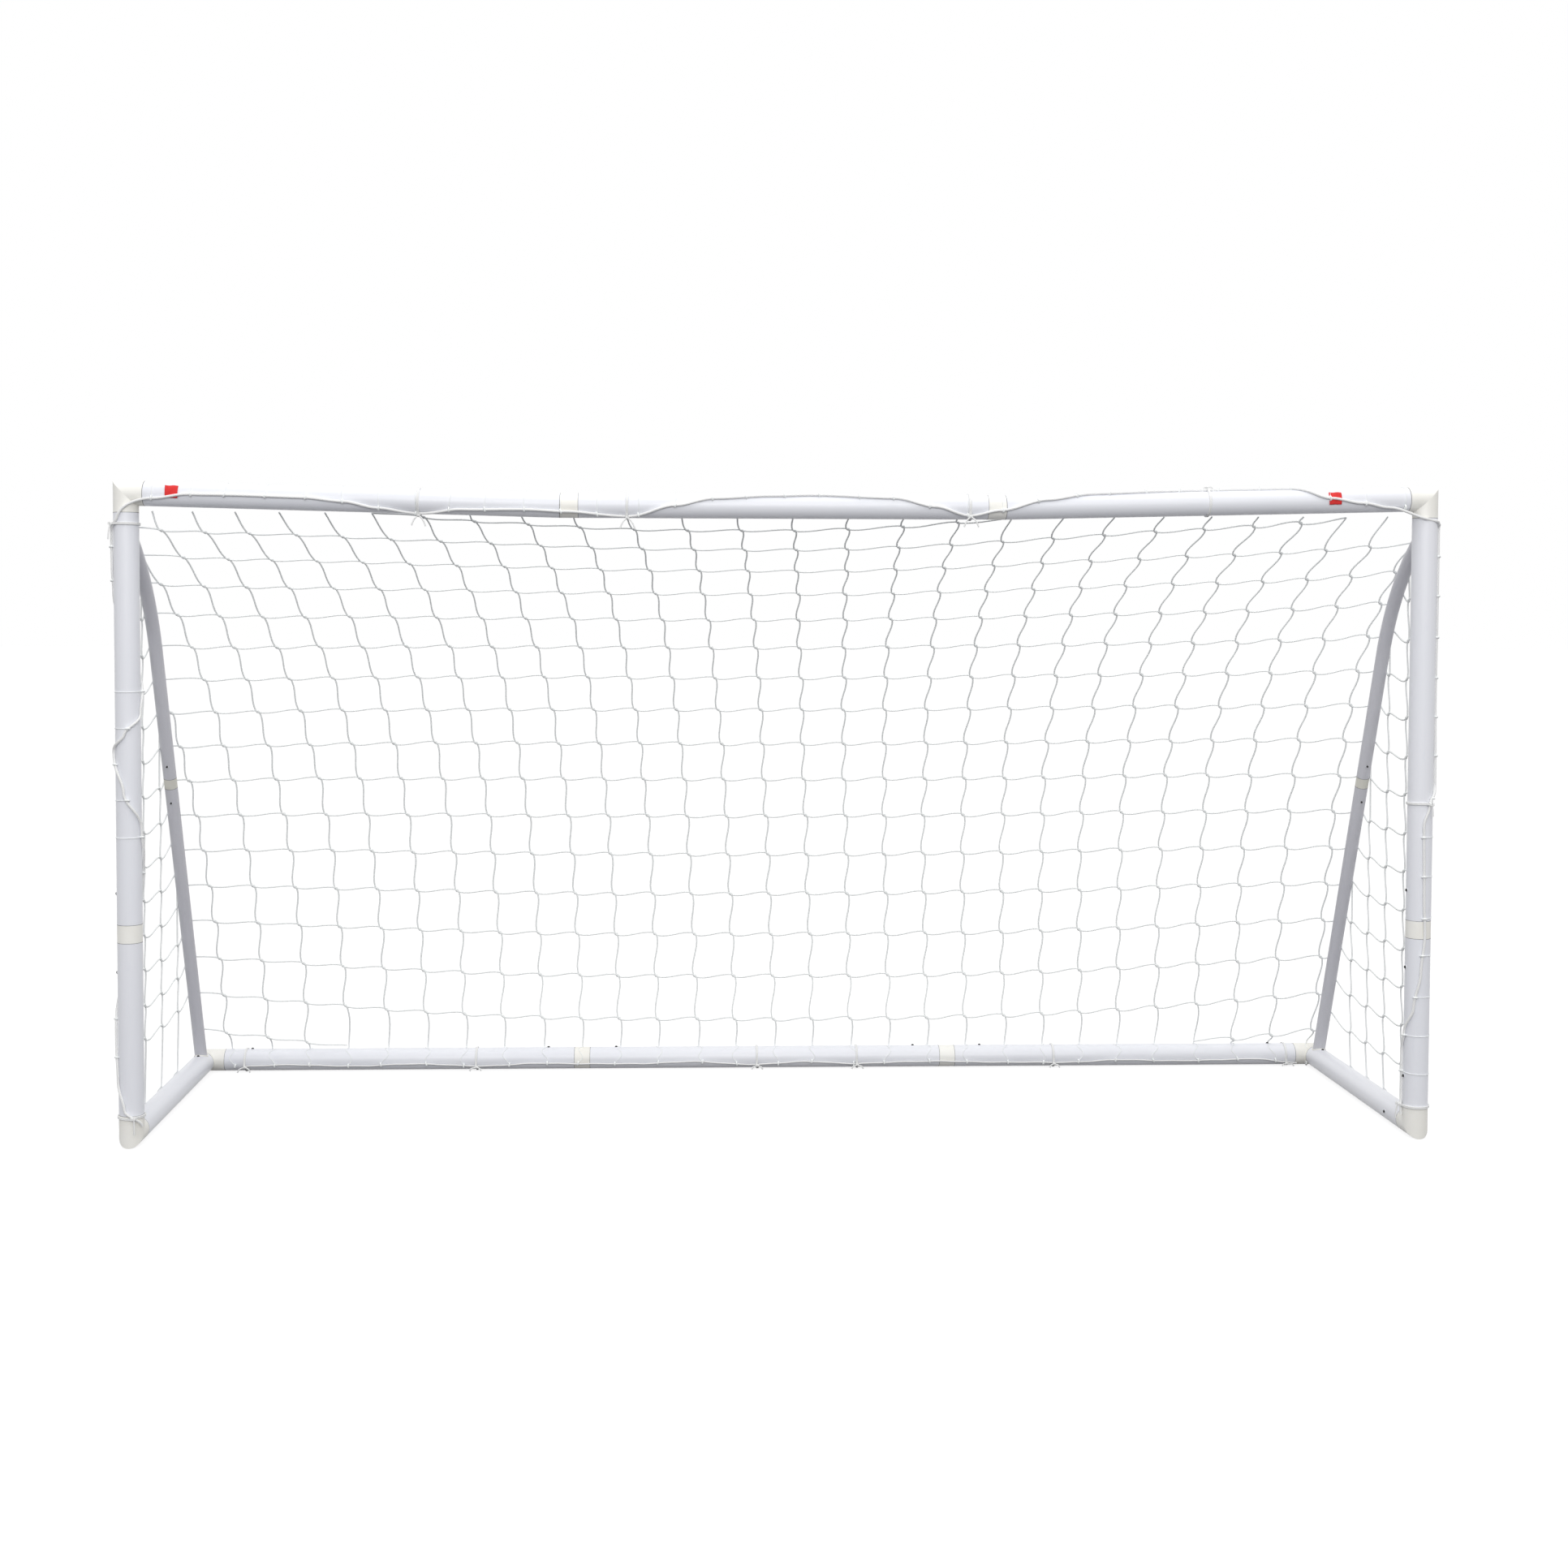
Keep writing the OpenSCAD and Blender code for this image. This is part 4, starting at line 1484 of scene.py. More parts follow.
@dataclass
class BorderRope:
    """The white rope round the mouth and the one along the rear bar, in degrees and metres."""

    plan: Plan
    finishes: Finishes
    trees: Trees
    radius: float = 3.7 * MM
    rear_radius: float = 2.2 * MM
    crossbar: tuple[Pair, ...] = (
        (-1.715, -20), (-1.620, 0), (-1.490, 2), (-1.310, 0), (-1.200, -12), (-1.110, -36),
        (-1.000, -62), (-0.885, -32), (-0.700, -24), (-0.600, -28), (-0.430, -52), (-0.300, 0),
        (-0.190, 32), (-0.030, 48), (0.080, 55), (0.300, 38), (0.415, 0), (0.515, -40),
        (0.595, -15), (0.730, 28), (0.865, 60), (1.180, 84), (1.400, 82), (1.515, 10),
        (1.605, -13), (1.685, -36),
    )
    left_post: tuple[Pair, ...] = (
        (0.060, -60), (0.108, 15), (0.187, 50), (0.321, 75), (0.480, 135), (0.600, 180),
        (0.740, 230), (0.880, 285), (0.982, 365), (1.094, 425), (1.140, 360), (1.195, 285),
        (1.360, 190), (1.530, 100), (1.600, 85), (1.690, 75), (1.735, 20),
    )
    right_post: tuple[Pair, ...] = (
        (0.060, -100), (0.120, -108), (0.240, -108), (0.300, -80), (0.370, -35), (0.473, -8),
        (0.577, 6), (0.690, 0), (0.887, -5), (0.945, 20), (1.000, 75), (1.250, 90),
        (1.500, 86), (1.720, 86), (1.738, 35), (1.742, -20),
    )
    rear: tuple[Pair, ...] = (
        (-1.664, -20), (-1.500, -14), (-1.300, -24), (-1.150, -12), (-0.928, -26),
        (-0.700, -14), (-0.450, -20), (-0.250, -10), (-0.026, -26), (0.150, -12),
        (0.297, -26), (0.500, -14), (0.700, -20), (0.937, -26), (1.150, -14), (1.400, -20),
        (1.600, -10), (1.700, -32), (1.735, -40),
    )

    @property
    def off(self) -> float:
        """Distance of the rope's centre from its bar's centre line."""
        return self.plan.tube_r + self.radius + 0.3 * MM

    def build(self) -> None:
        """Lays both ropes."""
        mouth = Strands()
        mouth.lay(self._mouth_line(), self.radius)
        rope = self.trees.cord_piece("mouth_rope", mouth, 12, self.finishes.rope)
        keep(rope, "border_rope", "border_rope")
        rear = Strands()
        rear.lay(self._rear_line(), self.rear_radius)
        keep(self.trees.cord_piece("rear_rope", rear, 12, self.finishes.rope), "border_rope")

    def _mouth_line(self) -> list[Vector]:
        """The mouth rope's route: up the left post, over the crossbar, down the right."""
        p = self.plan
        wrap = self.off + 0.4 * MM
        up = [p.round_post(Side.LEFT, z, a, wrap) for z, a in self._fine(self.left_post, 0.008)]
        over = [p.round_crossbar(x, a, self.off) for x, a in self._fine(self.crossbar, 0.012)]
        down = [p.round_post(Side.RIGHT, z, a, wrap) for z, a in self._fine(self.right_post, 0.008)]
        left_top, right_top = up[-1], down[-1]
        first = self._corner(left_top, up[-2], over[0], over[1])
        last = self._corner(over[-1], over[-2], right_top, down[-2])
        return up + first + over + last + down[::-1]

    @staticmethod
    def _corner(a: Vector, before: Vector, b: Vector, after: Vector) -> list[Vector]:
        """A smooth hop between two stretches of rope.

        Args:
            a: Where the first stretch ends.
            before: The point before that.
            b: Where the second starts.
            after: The point after that.

        Returns:
            The points between a and b.
        """
        reach = (b - a).length
        ta, tb = unit(a - before) * reach, unit(after - b) * reach
        return [hermite(a, ta, b, tb, k / 8) for k in range(1, 8)]

    @staticmethod
    def _fine(table: Sequence[Pair], step: float) -> list[Pair]:
        """A table's places and eased values at an even step.

        Args:
            table: Places and values.
            step: About how far apart the places are.

        Returns:
            The places and values.
        """
        first, last = table[0][0], table[-1][0]
        count = round(abs(last - first) / step)
        places = [first + (last - first) * k / count for k in range(count + 1)]
        return [(x, between(table, x)) for x in places]

    def _rear_line(self) -> list[Vector]:
        """The rear rope's route along the front of the rear bar."""
        wave = random.Random(7)
        line = []
        for x, a in self._fine(self.rear, 0.012):
            wobble = 1.5 * math.sin(x * 23.0) + 1.0 * math.sin(x * 57.0 + 1.3)
            line.append(
                self.plan.round_rear_bar(x, a + wobble + wave.uniform(-0.3, 0.3), self.off)
            )
        return line


# ---- Net ---------------------------------------------------------------------------------


@dataclass
class KnottedNet:
    """The knotted square mesh: back and roof, two sides, and its lacing to the bars."""

    plan: Plan
    brace: Brace
    shape: NetShape
    rope: BorderRope
    finishes: Finishes
    trees: Trees
    radius: float = 2.5 * MM
    lacing: float = 1.0 * MM
    rows: int = 17
    columns: int = 29
    # Across the goal: the mesh at the foot, how much it widens upwards and by what power,
    # how far its middle column stands aside, and its bow near the crossbar
    mesh: float = 0.1246
    widening: Pair = (0.0234, 2.4)
    aside: tuple[float, float, float] = (0.028, -0.060, -0.067)
    bow: float = 2.4e-4
    narrowing: Pair = (7.1e-5, 1.9)
    # Down the net: the rows' pitch and its growth, and how far they rise at the braces
    pitch: Pair = (0.0488, 0.00068)
    rise: Mapping[Side, Pair] = field(
        default_factory=lambda: {Side.LEFT: (0.0515, 0.0014), Side.RIGHT: (0.072, 0.0)}
    )
    gather: Mapping[Side, float] = field(
        default_factory=lambda: {Side.LEFT: 0.048, Side.RIGHT: 0.078}
    )
    gather_band: Pair = (0.05, 0.65)
    gather_fade: float = 0.61
    edge_clear: float = 25 * MM
    shown: Pair = (0.012, 0.986)
    ends: Pair = (0.006, 0.994)
    loops: int = 35
    loop_behind: float = 205.0
    loop_clear: float = 76 * MM
    rear_over: float = 100.0
    post_behind: float = 146.0
    knot_half: Pair = (4.6 * MM, 3.8 * MM)
    knot_girth: float = 4.3 * MM
    knot_length: float = 16 * MM
    slack: float = 3.0 * MM
    curl: float = 0.55
    # The side panels: their verticals' distance behind the post, and their rows' first
    # height at the post and pitch
    side_verticals: Mapping[Side, tuple[float, ...]] = field(
        default_factory=lambda: {
            Side.LEFT: (0.030, 0.213, 0.389, 0.571),
            Side.RIGHT: (0.020, 0.153, 0.286, 0.420, 0.553),
        }
    )
    side_rows: Mapping[Side, Pair] = field(
        default_factory=lambda: {Side.LEFT: (0.255, 0.100), Side.RIGHT: (0.180, 0.112)}
    )
    twine: Strands = field(default_factory=Strands)
    knots: Places = field(default_factory=Places)
    hitches: Places = field(default_factory=Places)
    dice: random.Random = field(default_factory=lambda: random.Random(41))

    def build(self) -> None:
        """Makes the net's pieces."""
        self._back()
        back_twine = self.trees.cord_piece("net_back_twine", self.twine, 6, self.finishes.twine)
        keep(back_twine, "net_twine", "net_back_left", "net_back_right")
        self.twine = Strands()
        self._sides()
        side_twine = self.trees.cord_piece("net_side_twine", self.twine, 6, self.finishes.twine)
        keep(side_twine, "net_twine", "net_sides")
        bead = self._knot_shape()
        keep(
            self.trees.repeat_piece("net_knots", self.knots, bead, self.finishes.twine),
            "net_twine",
        )
        hitch = self._hitch_shape()
        keep(
            self.trees.repeat_piece("rope_hitches", self.hitches, hitch, self.finishes.twine),
            "net_twine",
        )
        drop(bead, hitch)

    def _cell(self, row: float, column: float) -> Pair:
        """Where a knot hangs: rows crowd towards the crossbar and rise towards the braces.

        Args:
            row: Its row, counted from the crossbar.
            column: Its column, counted from the left.

        Returns:
            Its place across the goal, and its share of the way down the net.
        """
        half = (self.columns - 1) / 2
        m = column - half
        up = max(0.0, (self.rows - 1 - row) / (self.rows - 3))
        start = self.aside[0] + self.aside[1] * up + self.aside[2] * up**2
        spread = self.mesh + self.widening[0] * up ** self.widening[1]
        x = start + spread * m + self.bow * up**3 * m * m
        x -= self.narrowing[0] * up ** self.narrowing[1] * m**3
        s = abs(m) / half
        side = Side.LEFT if m < 0 else Side.RIGHT
        t = max(0.0, min(1.0, (s - self.gather_band[0]) / self.gather_band[1]))
        drawn = self.gather[side] * self.gather_fade ** (row - 1) * t * t * (3 - 2 * t)
        lift = self.rise[side][0] + self.rise[side][1] * row
        v = self.pitch[0] * row + self.pitch[1] * row**2 - lift * s**3 - drawn
        return x, v

    def _knot(self, at: Vector, right: Vector, down: Vector) -> tuple[Vector, Vector]:
        """Puts a knot and gives its two ends.

        Args:
            at: Its middle.
            right: Towards the right of the net there.
            down: Down the net there.

        Returns:
            Its upper left end and its lower right end.
        """
        half = unit(right) * self.knot_half[0] + unit(down) * self.knot_half[1]
        half *= self.dice.uniform(0.85, 1.15)
        self.knots.put(at, half, right.cross(down), self.dice.uniform(0.9, 1.1))
        return at - half, at + half

    def _leg(
        self, a: Vector, ta: Vector, b: Vector, tb: Vector, hang: float = 0.0
    ) -> list[Vector]:
        """A piece of twine between two knots: it leaves and arrives along them, in an S.

        Args:
            a: Its start.
            ta: The way it leaves there.
            b: Its end.
            tb: The way it arrives there.
            hang: How far its middle hangs.

        Returns:
            Its points, with the start and the end.
        """
        reach = (b - a).length
        line = unit(b - a)
        start = unit(unit(ta) * self.curl + line) * reach
        end = unit(unit(tb) * self.curl + line) * reach
        return [
            hermite(a, start, b, end, t) - UP * (hang * 4 * t * (1 - t))
            for t in (0.0, 0.07, 0.16, 0.28, 0.42, 0.58, 0.72, 0.84, 0.93, 1.0)
        ]

    def _back(self) -> None:
        """The back and roof: knots on the hanging surface and twine between them."""
        limit = self.shape.edge_x - self.edge_clear
        grid: dict[tuple[int, int], tuple[Vector, Vector]] = {}
        for row in range(1, self.rows + 1):
            for column in range(self.columns):
                x, v = self._cell(row, column)
                x += self.dice.uniform(-2.5, 2.5) * MM
                v += self.dice.uniform(-1.5, 1.5) * MM / self.shape.middle.length
                if abs(x) > limit or not self.shown[0] < v < self.shown[1]:
                    continue
                at = self.shape.at(x, v)
                right = self.shape.at(x + 0.01, v) - self.shape.at(x - 0.01, v)
                down = self.shape.at(x, v + 0.004) - self.shape.at(x, v - 0.004)
                grid[row, column] = self._knot(at, right, down)
        for (row, column), knot in grid.items():
            beside, below = grid.get((row, column + 1)), grid.get((row + 1, column))
            if beside:
                self._join(knot, beside, self.slack * self.dice.uniform(0.0, 0.6))
            else:
                self._row_end(row, column, 1, knot)
            if (row, column - 1) not in grid:
                self._row_end(row, column, -1, knot)
            if below:
                self._join(knot, below, 0.0)
            else:
                self._lace_bottom(column, knot)
            if (row - 1, column) not in grid:
                self._column_top(row, column, knot)
        self._lace_crossbar()

    def _join(
        self, one: tuple[Vector, Vector], other: tuple[Vector, Vector], hang: float
    ) -> None:
        """Twine from one knot's lower right end to the next one's upper left end.

        Args:
            one: The first knot, as its upper left and lower right ends.
            other: The next knot.
            hang: How far the twine's middle hangs.
        """
        (a0, a1), (b0, b1) = one, other
        self.twine.lay(self._leg(a1, a1 - a0, b0, b1 - b0, hang), self.radius)

    def _on_edge(self, row: float, column: float, step: Pair) -> Vector:
        """Where a line of the mesh that has no next knot meets the net's own edge.

        Args:
            row: The last knot's row.
            column: Its column.
            step: The way on, in rows and columns.

        Returns:
            The point on the edge.
        """
        limit = self.shape.edge_x
        first, last = self.ends
        for k in range(1, 41):
            x, v = self._cell(row + step[0] * k / 40, column + step[1] * k / 40)
            if abs(x) > limit or not first <= v <= last:
                break
        return self.shape.at(max(-limit, min(limit, x)), max(first, min(last, v)))

    def _row_end(self, row: int, column: int, way: int, knot: tuple[Vector, Vector]) -> None:
        """Carries a row on to the net's edge.

        Args:
            row: The last knot's row.
            column: Its column.
            way: 1 to the right, -1 to the left.
            knot: The knot, as its upper left and lower right ends.
        """
        end = self._on_edge(row, column, (0, way))
        (a0, a1) = knot
        near, out = (a1, a1 - a0) if way > 0 else (a0, a0 - a1)
        self.twine.lay(self._leg(near, out, end, end - near), self.radius)

    def _column_top(self, row: int, column: int, knot: tuple[Vector, Vector]) -> None:
        """Carries a vertical up to the net's top edge or to a brace.

        Args:
            row: The top knot's row.
            column: Its column.
            knot: The knot, as its upper left and lower right ends.
        """
        end = self._on_edge(row, column, (-1, 0))
        self.twine.lay(self._leg(knot[0], knot[0] - knot[1], end, end - knot[0]), self.radius)

    def _lace_crossbar(self) -> None:
        """Loops from behind the crossbar over it to the rope."""
        p = self.plan
        off = p.tube_r + self.lacing
        behind = self.loop_behind
        for k in range(self.loops):
            share = k / (self.loops - 1) * 2 - 1
            x = share * (p.post_x - self.loop_clear) + self.dice.uniform(-8, 8) * MM
            goal = between(self.rope.crossbar, x)
            lean = self.dice.uniform(-9, 9) * MM
            steps = max(8, round((behind - goal) / 9))
            arc = []
            for i in range(steps + 1):
                t = i / steps
                sway = lean * t + 1.5 * MM * math.sin(t * 9 + k)
                arc.append(p.round_crossbar(x + sway, behind + (goal - behind) * t, off))
            self.twine.lay(arc, self.lacing)
            at = p.round_crossbar(arc[-1].x, goal, self.rope.off)
            self.hitches.put(at, Vector((1, 0, self.dice.uniform(-0.3, 0.3))), UP)

    def _lace_bottom(self, column: int, knot: tuple[Vector, Vector]) -> None:
        """Takes a vertical over the rear bar to its rope.

        Args:
            column: The vertical's column.
            knot: Its lowest knot, as its upper left and lower right ends.
        """
        p = self.plan
        x = knot[1].x
        goal = between(self.rope.rear, x)
        off = p.tube_r + self.lacing
        lean = self.dice.uniform(-12, 12) * MM
        over = self.rear_over
        start = p.round_rear_bar(x, over, off)
        self.twine.lay(self._leg(knot[1], knot[1] - knot[0], start, UP * -1), self.radius)
        arc = []
        for k in range(13):
            t = k / 12
            sway = lean * t + 9 * MM * math.sin(t * 7 + column)
            arc.append(p.round_rear_bar(x + sway, over + (goal - over) * t, off))
        self.twine.lay(arc, self.lacing)
        at = p.round_rear_bar(arc[-1].x, goal, self.rope.off)
        self.hitches.put(at, Vector((1, 0, self.dice.uniform(-0.3, 0.3))), UP)

    def _edge_at(self, z: float) -> float:
        """Distance from front to back of the net's edge line at a height.

        Args:
            z: The height.

        Returns:
            The distance.
        """
        points = self.shape.edge.points
        for a, b in zip(points, points[1:]):
            if min(a.y, b.y) <= z <= max(a.y, b.y) and abs(a.y - b.y) > 1e-9:
                return a.x + (b.x - a.x) * (z - a.y) / (b.y - a.y)
        return points[-1].x

    def _sides(self) -> None:
        """Both side panels."""
        for side in Side:
            self._side(side)

    def _side(self, side: Side) -> None:
        """One side panel, between its post, its brace and its side bar.

        Args:
            side: Which side.
        """
        p = self.plan
        first, pitch = self.side_rows[side]
        table = self.rope.left_post if side is Side.LEFT else self.rope.right_post
        outer = side.value * (p.post_x + p.brace_r + 0.6 * MM)
        verticals = [p.front_y + y for y in self.side_verticals[side]]
        count = int((1.70 - first) / pitch) + 1
        strips: dict[int, list[tuple[float, Vector, Vector]]] = {}
        back = BACK
        for row in range(count):
            z = first + row * pitch
            end_y = self._edge_at(z + 0.02)
            line: list[tuple[Vector, Vector]] = []
            for number, y in enumerate(verticals):
                if y > end_y - 0.03:
                    continue
                share = (y - p.front_y) / (end_y - p.front_y)
                sag = -12 * MM * 4 * share * (1 - share)
                at = Vector((outer, y + self.dice.uniform(-3, 3) * MM, z + sag))
                at.z += self.dice.uniform(-2, 2) * MM
                ends = self._knot(at, back, UP * -1)
                line.append(ends)
                strips.setdefault(number, []).append((at.z, *ends))
            post_end = p.round_post(side, z, self.post_behind, p.tube_r + self.radius)
            edge_end = Vector((outer, end_y, z + 0.02))
            self._side_row(line, post_end, edge_end)
            self._lace_post(side, z, between(table, z))
        for number, knots in strips.items():
            self._side_vertical(side, verticals[number], outer, knots)

    def _side_row(
        self, line: Sequence[tuple[Vector, Vector]], post_end: Vector, edge_end: Vector
    ) -> None:
        """The twine of one side row, from the post through its knots to the brace.

        Args:
            line: The row's knots, from the front.
            post_end: Where it starts, on the post.
            edge_end: Where it ends, on the net's edge.
        """
        last, way = post_end, BACK
        for near, far in line:
            slack = self.slack * self.dice.uniform(0.5, 1.8)
            self.twine.lay(self._leg(last, way, near, far - near, slack), self.radius)
            last, way = far, far - near
        self.twine.lay(self._leg(last, way, edge_end, BACK, 1.0 * MM), self.radius)

    def _side_vertical(
        self,
        side: Side,
        y: float,
        outer: float,
        knots: Sequence[tuple[float, Vector, Vector]],
    ) -> None:
        """The twine of one side vertical, from the side bar up to the net's edge.

        Args:
            side: Which side.
            y: The vertical's place from front to back.
            outer: The panel's place across the goal.
            knots: Its knots, each as its height, upper end and lower end.
        """
        p = self.plan
        ordered = sorted(knots, key=lambda k: k[0])
        for (_, low0, low1), (_, high0, high1) in zip(ordered, ordered[1:]):
            self.twine.lay(self._leg(high1, high1 - high0, low0, low1 - low0), self.radius)
        foot = p.round_side_bar(side, y, 52, p.tube_r + self.radius)
        _, _, end = ordered[0]
        self.twine.lay(self._leg(end, UP * -1, foot, UP * -1), self.radius)
        off = p.tube_r + self.radius
        loop = [p.round_side_bar(side, y + 2 * MM, 52 - a, off) for a in range(0, 145, 9)]
        self.twine.lay(loop, self.radius)
        top_z, top_end, _ = ordered[-1]
        for a, b in zip(self.shape.edge.points, self.shape.edge.points[1:]):
            if a.x <= y <= b.x:
                z = a.y + (b.y - a.y) * (y - a.x) / max(b.x - a.x, 1e-9)
                if z > top_z + 0.02:
                    tip = Vector((outer, y, z))
                    self.twine.lay(self._leg(top_end, UP, tip, UP), self.radius)
                break

    def _lace_post(self, side: Side, z: float, goal: float) -> None:
        """Takes a side row round its post to the rope.

        Args:
            side: Which post.
            z: The row's height.
            goal: The rope's angle there.
        """
        p = self.plan
        off = p.tube_r + self.lacing
        start = self.post_behind
        goal = goal - 360 * round((goal - start) / 360)
        if goal > start + 100:
            goal -= 360
        steps = max(3, round(abs(goal - start) / 10))
        rise = self.dice.uniform(-5, 5) * MM
        arc = [
            p.round_post(side, z + rise * k / steps, start + (goal - start) * k / steps, off)
            for k in range(steps + 1)
        ]
        self.twine.lay(arc, self.lacing)
        at = p.round_post(side, z + rise, goal, self.rope.off)
        self.hitches.put(at, Vector((0, 0.2, 1)), BACK)

    def _knot_shape(self) -> bpy.types.Object:
        """A pulled-tight netting knot: a short fat twist of the two twines."""
        rings, sides = 9, 8
        points, faces = [], []
        for i in range(rings):
            t = i / (rings - 1) * 2 - 1
            for k in range(sides):
                a = math.tau * k / sides
                body = math.sqrt(max(0.0, 1 - t * t)) * 0.75 + 0.25
                groove = 1 + 0.2 * math.cos(2 * a + 3.4 * t) * (1 - t * t)
                r = self.knot_girth * body * groove
                points.append((t * self.knot_length / 2, r * math.cos(a), r * math.sin(a) * 0.85))
        for i in range(rings - 1):
            here, there = i * sides, (i + 1) * sides
            for k in range(sides):
                j = (k + 1) % sides
                faces.append((here + k, there + k, there + j, here + j))
        faces.append(tuple(range(sides)))
        faces.append(tuple((rings - 1) * sides + k for k in reversed(range(sides))))
        mesh = bpy.data.meshes.new("knot_shape")
        mesh.from_pydata(points, [], [tuple(reversed(f)) for f in faces])
        return link("knot_shape", mesh)

    def _hitch_shape(self) -> bpy.types.Object:
        """A turn of twine round the rope, lying across X."""
        tube, steps, sides = self.radius, 14, 6
        hug = self.rope.radius + tube * 0.7
        points, faces = [], []
        for i in range(steps):
            a = math.tau * i / steps
            for k in range(sides):
                b = math.tau * k / sides
                r = hug + tube * math.cos(b)
                points.append((tube * math.sin(b), r * math.cos(a), r * math.sin(a)))
        for i in range(steps):
            n = (i + 1) % steps
            for k in range(sides):
                j = (k + 1) % sides
                faces.append((i * sides + k, i * sides + j, n * sides + j, n * sides + k))
        mesh = bpy.data.meshes.new("hitch_shape")
        mesh.from_pydata(points, [], faces)
        return link("hitch_shape", mesh)


# ---- Ties and tags -----------------------------------------------------------------------


@dataclass
class CordTies:
    """Short white cords that tie the rope to the bars, each with a knot and two tails."""

    plan: Plan
    rope: BorderRope
    finishes: Finishes
    trees: Trees
    radius: float = 2.0 * MM
    crossbar: tuple[float, ...] = (-1.000, -0.430, 0.515, 1.180)
    rear: tuple[float, ...] = (-1.664, -0.928, -0.026, 0.297, 0.937, 1.700)
    left_post: tuple[float, ...] = (0.084, 1.7125)
    right_post: tuple[float, ...] = (0.090, 0.945)
    tail: float = 33 * MM
    strands: Strands = field(default_factory=Strands)
    dice: random.Random = field(default_factory=lambda: random.Random(5))

    def build(self) -> None:
        """Makes all the ties as one piece."""
        p = self.plan
        for x in self.crossbar:
            angle = between(self.rope.crossbar, x)
            self._tie(lambda a, off, s, x=x: p.round_crossbar(x + s, a, off), angle)
        for x in self.rear:
            angle = between(self.rope.rear, x)
            self._tie(lambda a, off, s, x=x: p.round_rear_bar(x + s, a, off), angle)
        for z in self.left_post:
            angle = between(self.rope.left_post, z)
            self._tie(lambda a, off, s, z=z: p.round_post(Side.LEFT, z + s, a, off), angle)
        for z in self.right_post:
            angle = between(self.rope.right_post, z)
            self._tie(lambda a, off, s, z=z: p.round_post(Side.RIGHT, z + s, a, off), angle)
        piece = self.trees.cord_piece("rope_ties", self.strands, 10, self.finishes.cord)
        keep(piece, "border_rope")

    def _tie(self, place: Callable[[float, float, float], Vector], angle: float) -> None:
        """One tie: two turns round bar and rope, a knot on the rope and two tails.

        Args:
            place: Gives the point at an angle, a distance from the bar's line and a shift.
            angle: The rope's angle there.
        """
        near = self.plan.tube_r + self.radius
        over = self.rope.off + self.rope.radius + self.radius
        turns, steps = 2, 96
        line = []
        for k in range(steps + 1):
            a = angle + 360 * turns * k / steps
            gap = abs((a - angle + 180) % 360 - 180)
            lift = 1 / (1 + (gap / 9.0) ** 4)
            line.append(place(a, near + (over - near) * lift, (k / steps - 0.5) * 7 * MM))
        self.strands.lay(line, self.radius)
        top = over + 1.6 * MM
        middle = place(angle, top, 0.0)
        wrap = []
        for k in range(25):
            a = math.tau * 2 * k / 24
            wrap.append(
                place(
                    angle + 4.2 * math.cos(a), top + 1.2 * MM * math.sin(a), (k / 24 - 0.5) * 6 * MM
                )
            )
        self.strands.lay(wrap, self.radius)
        for way in (-1, 1):
            start = middle
            out = unit(place(angle, over + 10 * MM, 0.0) - middle)
            sideways = unit(place(angle, over, way * 10 * MM) - place(angle, over, 0.0))
            reach = self.tail * self.dice.uniform(0.85, 1.15)
            tip = start + sideways * reach * 0.55 + out * reach * 0.2 - UP * reach * 0.62
            if tip.z < 4 * MM:
                tip.z = 4 * MM
            leaves = (out * 0.5 + sideways) * reach * 0.9
            arrives = (sideways * 0.3 - UP) * reach
            tail = [hermite(start, leaves, tip, arrives, k / 10) for k in range(11)]
            girth = [self.radius * (1.0 if k < 9 else 1.15) for k in range(11)]
            self.strands.lay(tail, girth)


@dataclass
class RedTags:
    """Small folded cloth tags hooked over the crossbar's rope."""

    plan: Plan
    rope: BorderRope
    finishes: Finishes
    places: tuple[float, ...] = (-1.665, 1.530)
    width: float = 36 * MM
    drop: float = 32 * MM

    def build(self) -> None:
        """Makes both tags."""
        for number, x in enumerate(self.places):
            tag = self._tag(f"red_tag_{number + 1}", x)
            stands_for = ("rope_tags",) if number == 0 else ()
            keep(tag, "red_cloth", *stands_for)
            self.drop * 1.25
            "crossbar_tube_left" if x < 0 else "crossbar_tube_right"

    def _tag(self, name: str, x: float) -> bpy.types.Object:
        """One tag, lying over the top front of the crossbar.

        Args:
            name: The tag's name.
            x: Its place across the goal.

        Returns:
            The tag.
        """
        across, down = 10, 12
        points, faces, uvs = [], [], []
        for j in range(down + 1):
            for i in range(across + 1):
                u, v = i / across - 0.5, j / down
                angle = 40 - v * 58
                ripple = 0.8 * MM * math.sin(9 * u + 5 * v) + 1.2 * MM * v * v
                off = self.plan.tube_r + 1.2 * MM + ripple
                at = self.plan.round_crossbar(x + u * self.width * (1 - 0.06 * v), angle, off)
                points.append(tuple(at))
                uvs.append((u * self.width / MM / 36, v))
        wide = across + 1
        for j in range(down):
            for i in range(across):
                a = j * wide + i
                faces.append((a, a + wide, a + wide + 1, a + 1))
        mesh = bpy.data.meshes.new(name)
        mesh.from_pydata(points, [], faces)
        layer = mesh.uv_layers.new(name="weave")
        for loop in mesh.loops:
            layer.data[loop.index].uv = uvs[loop.vertex_index]
        mesh.materials.append(self.finishes.cloth)
        obj = link(name, mesh)
        thick = obj.modifiers.new("cloth_thickness", "SOLIDIFY")
        thick.thickness = 0.7 * MM
        thick.offset = 1.0
        graph = bpy.context.evaluated_depsgraph_get()
        solid = bpy.data.meshes.new_from_object(
            obj.evaluated_get(graph), preserve_all_data_layers=True, depsgraph=graph
        )
        obj.modifiers.clear()
        obj.data = solid
        return obj


# ---- Studio ------------------------------------------------------------------------------


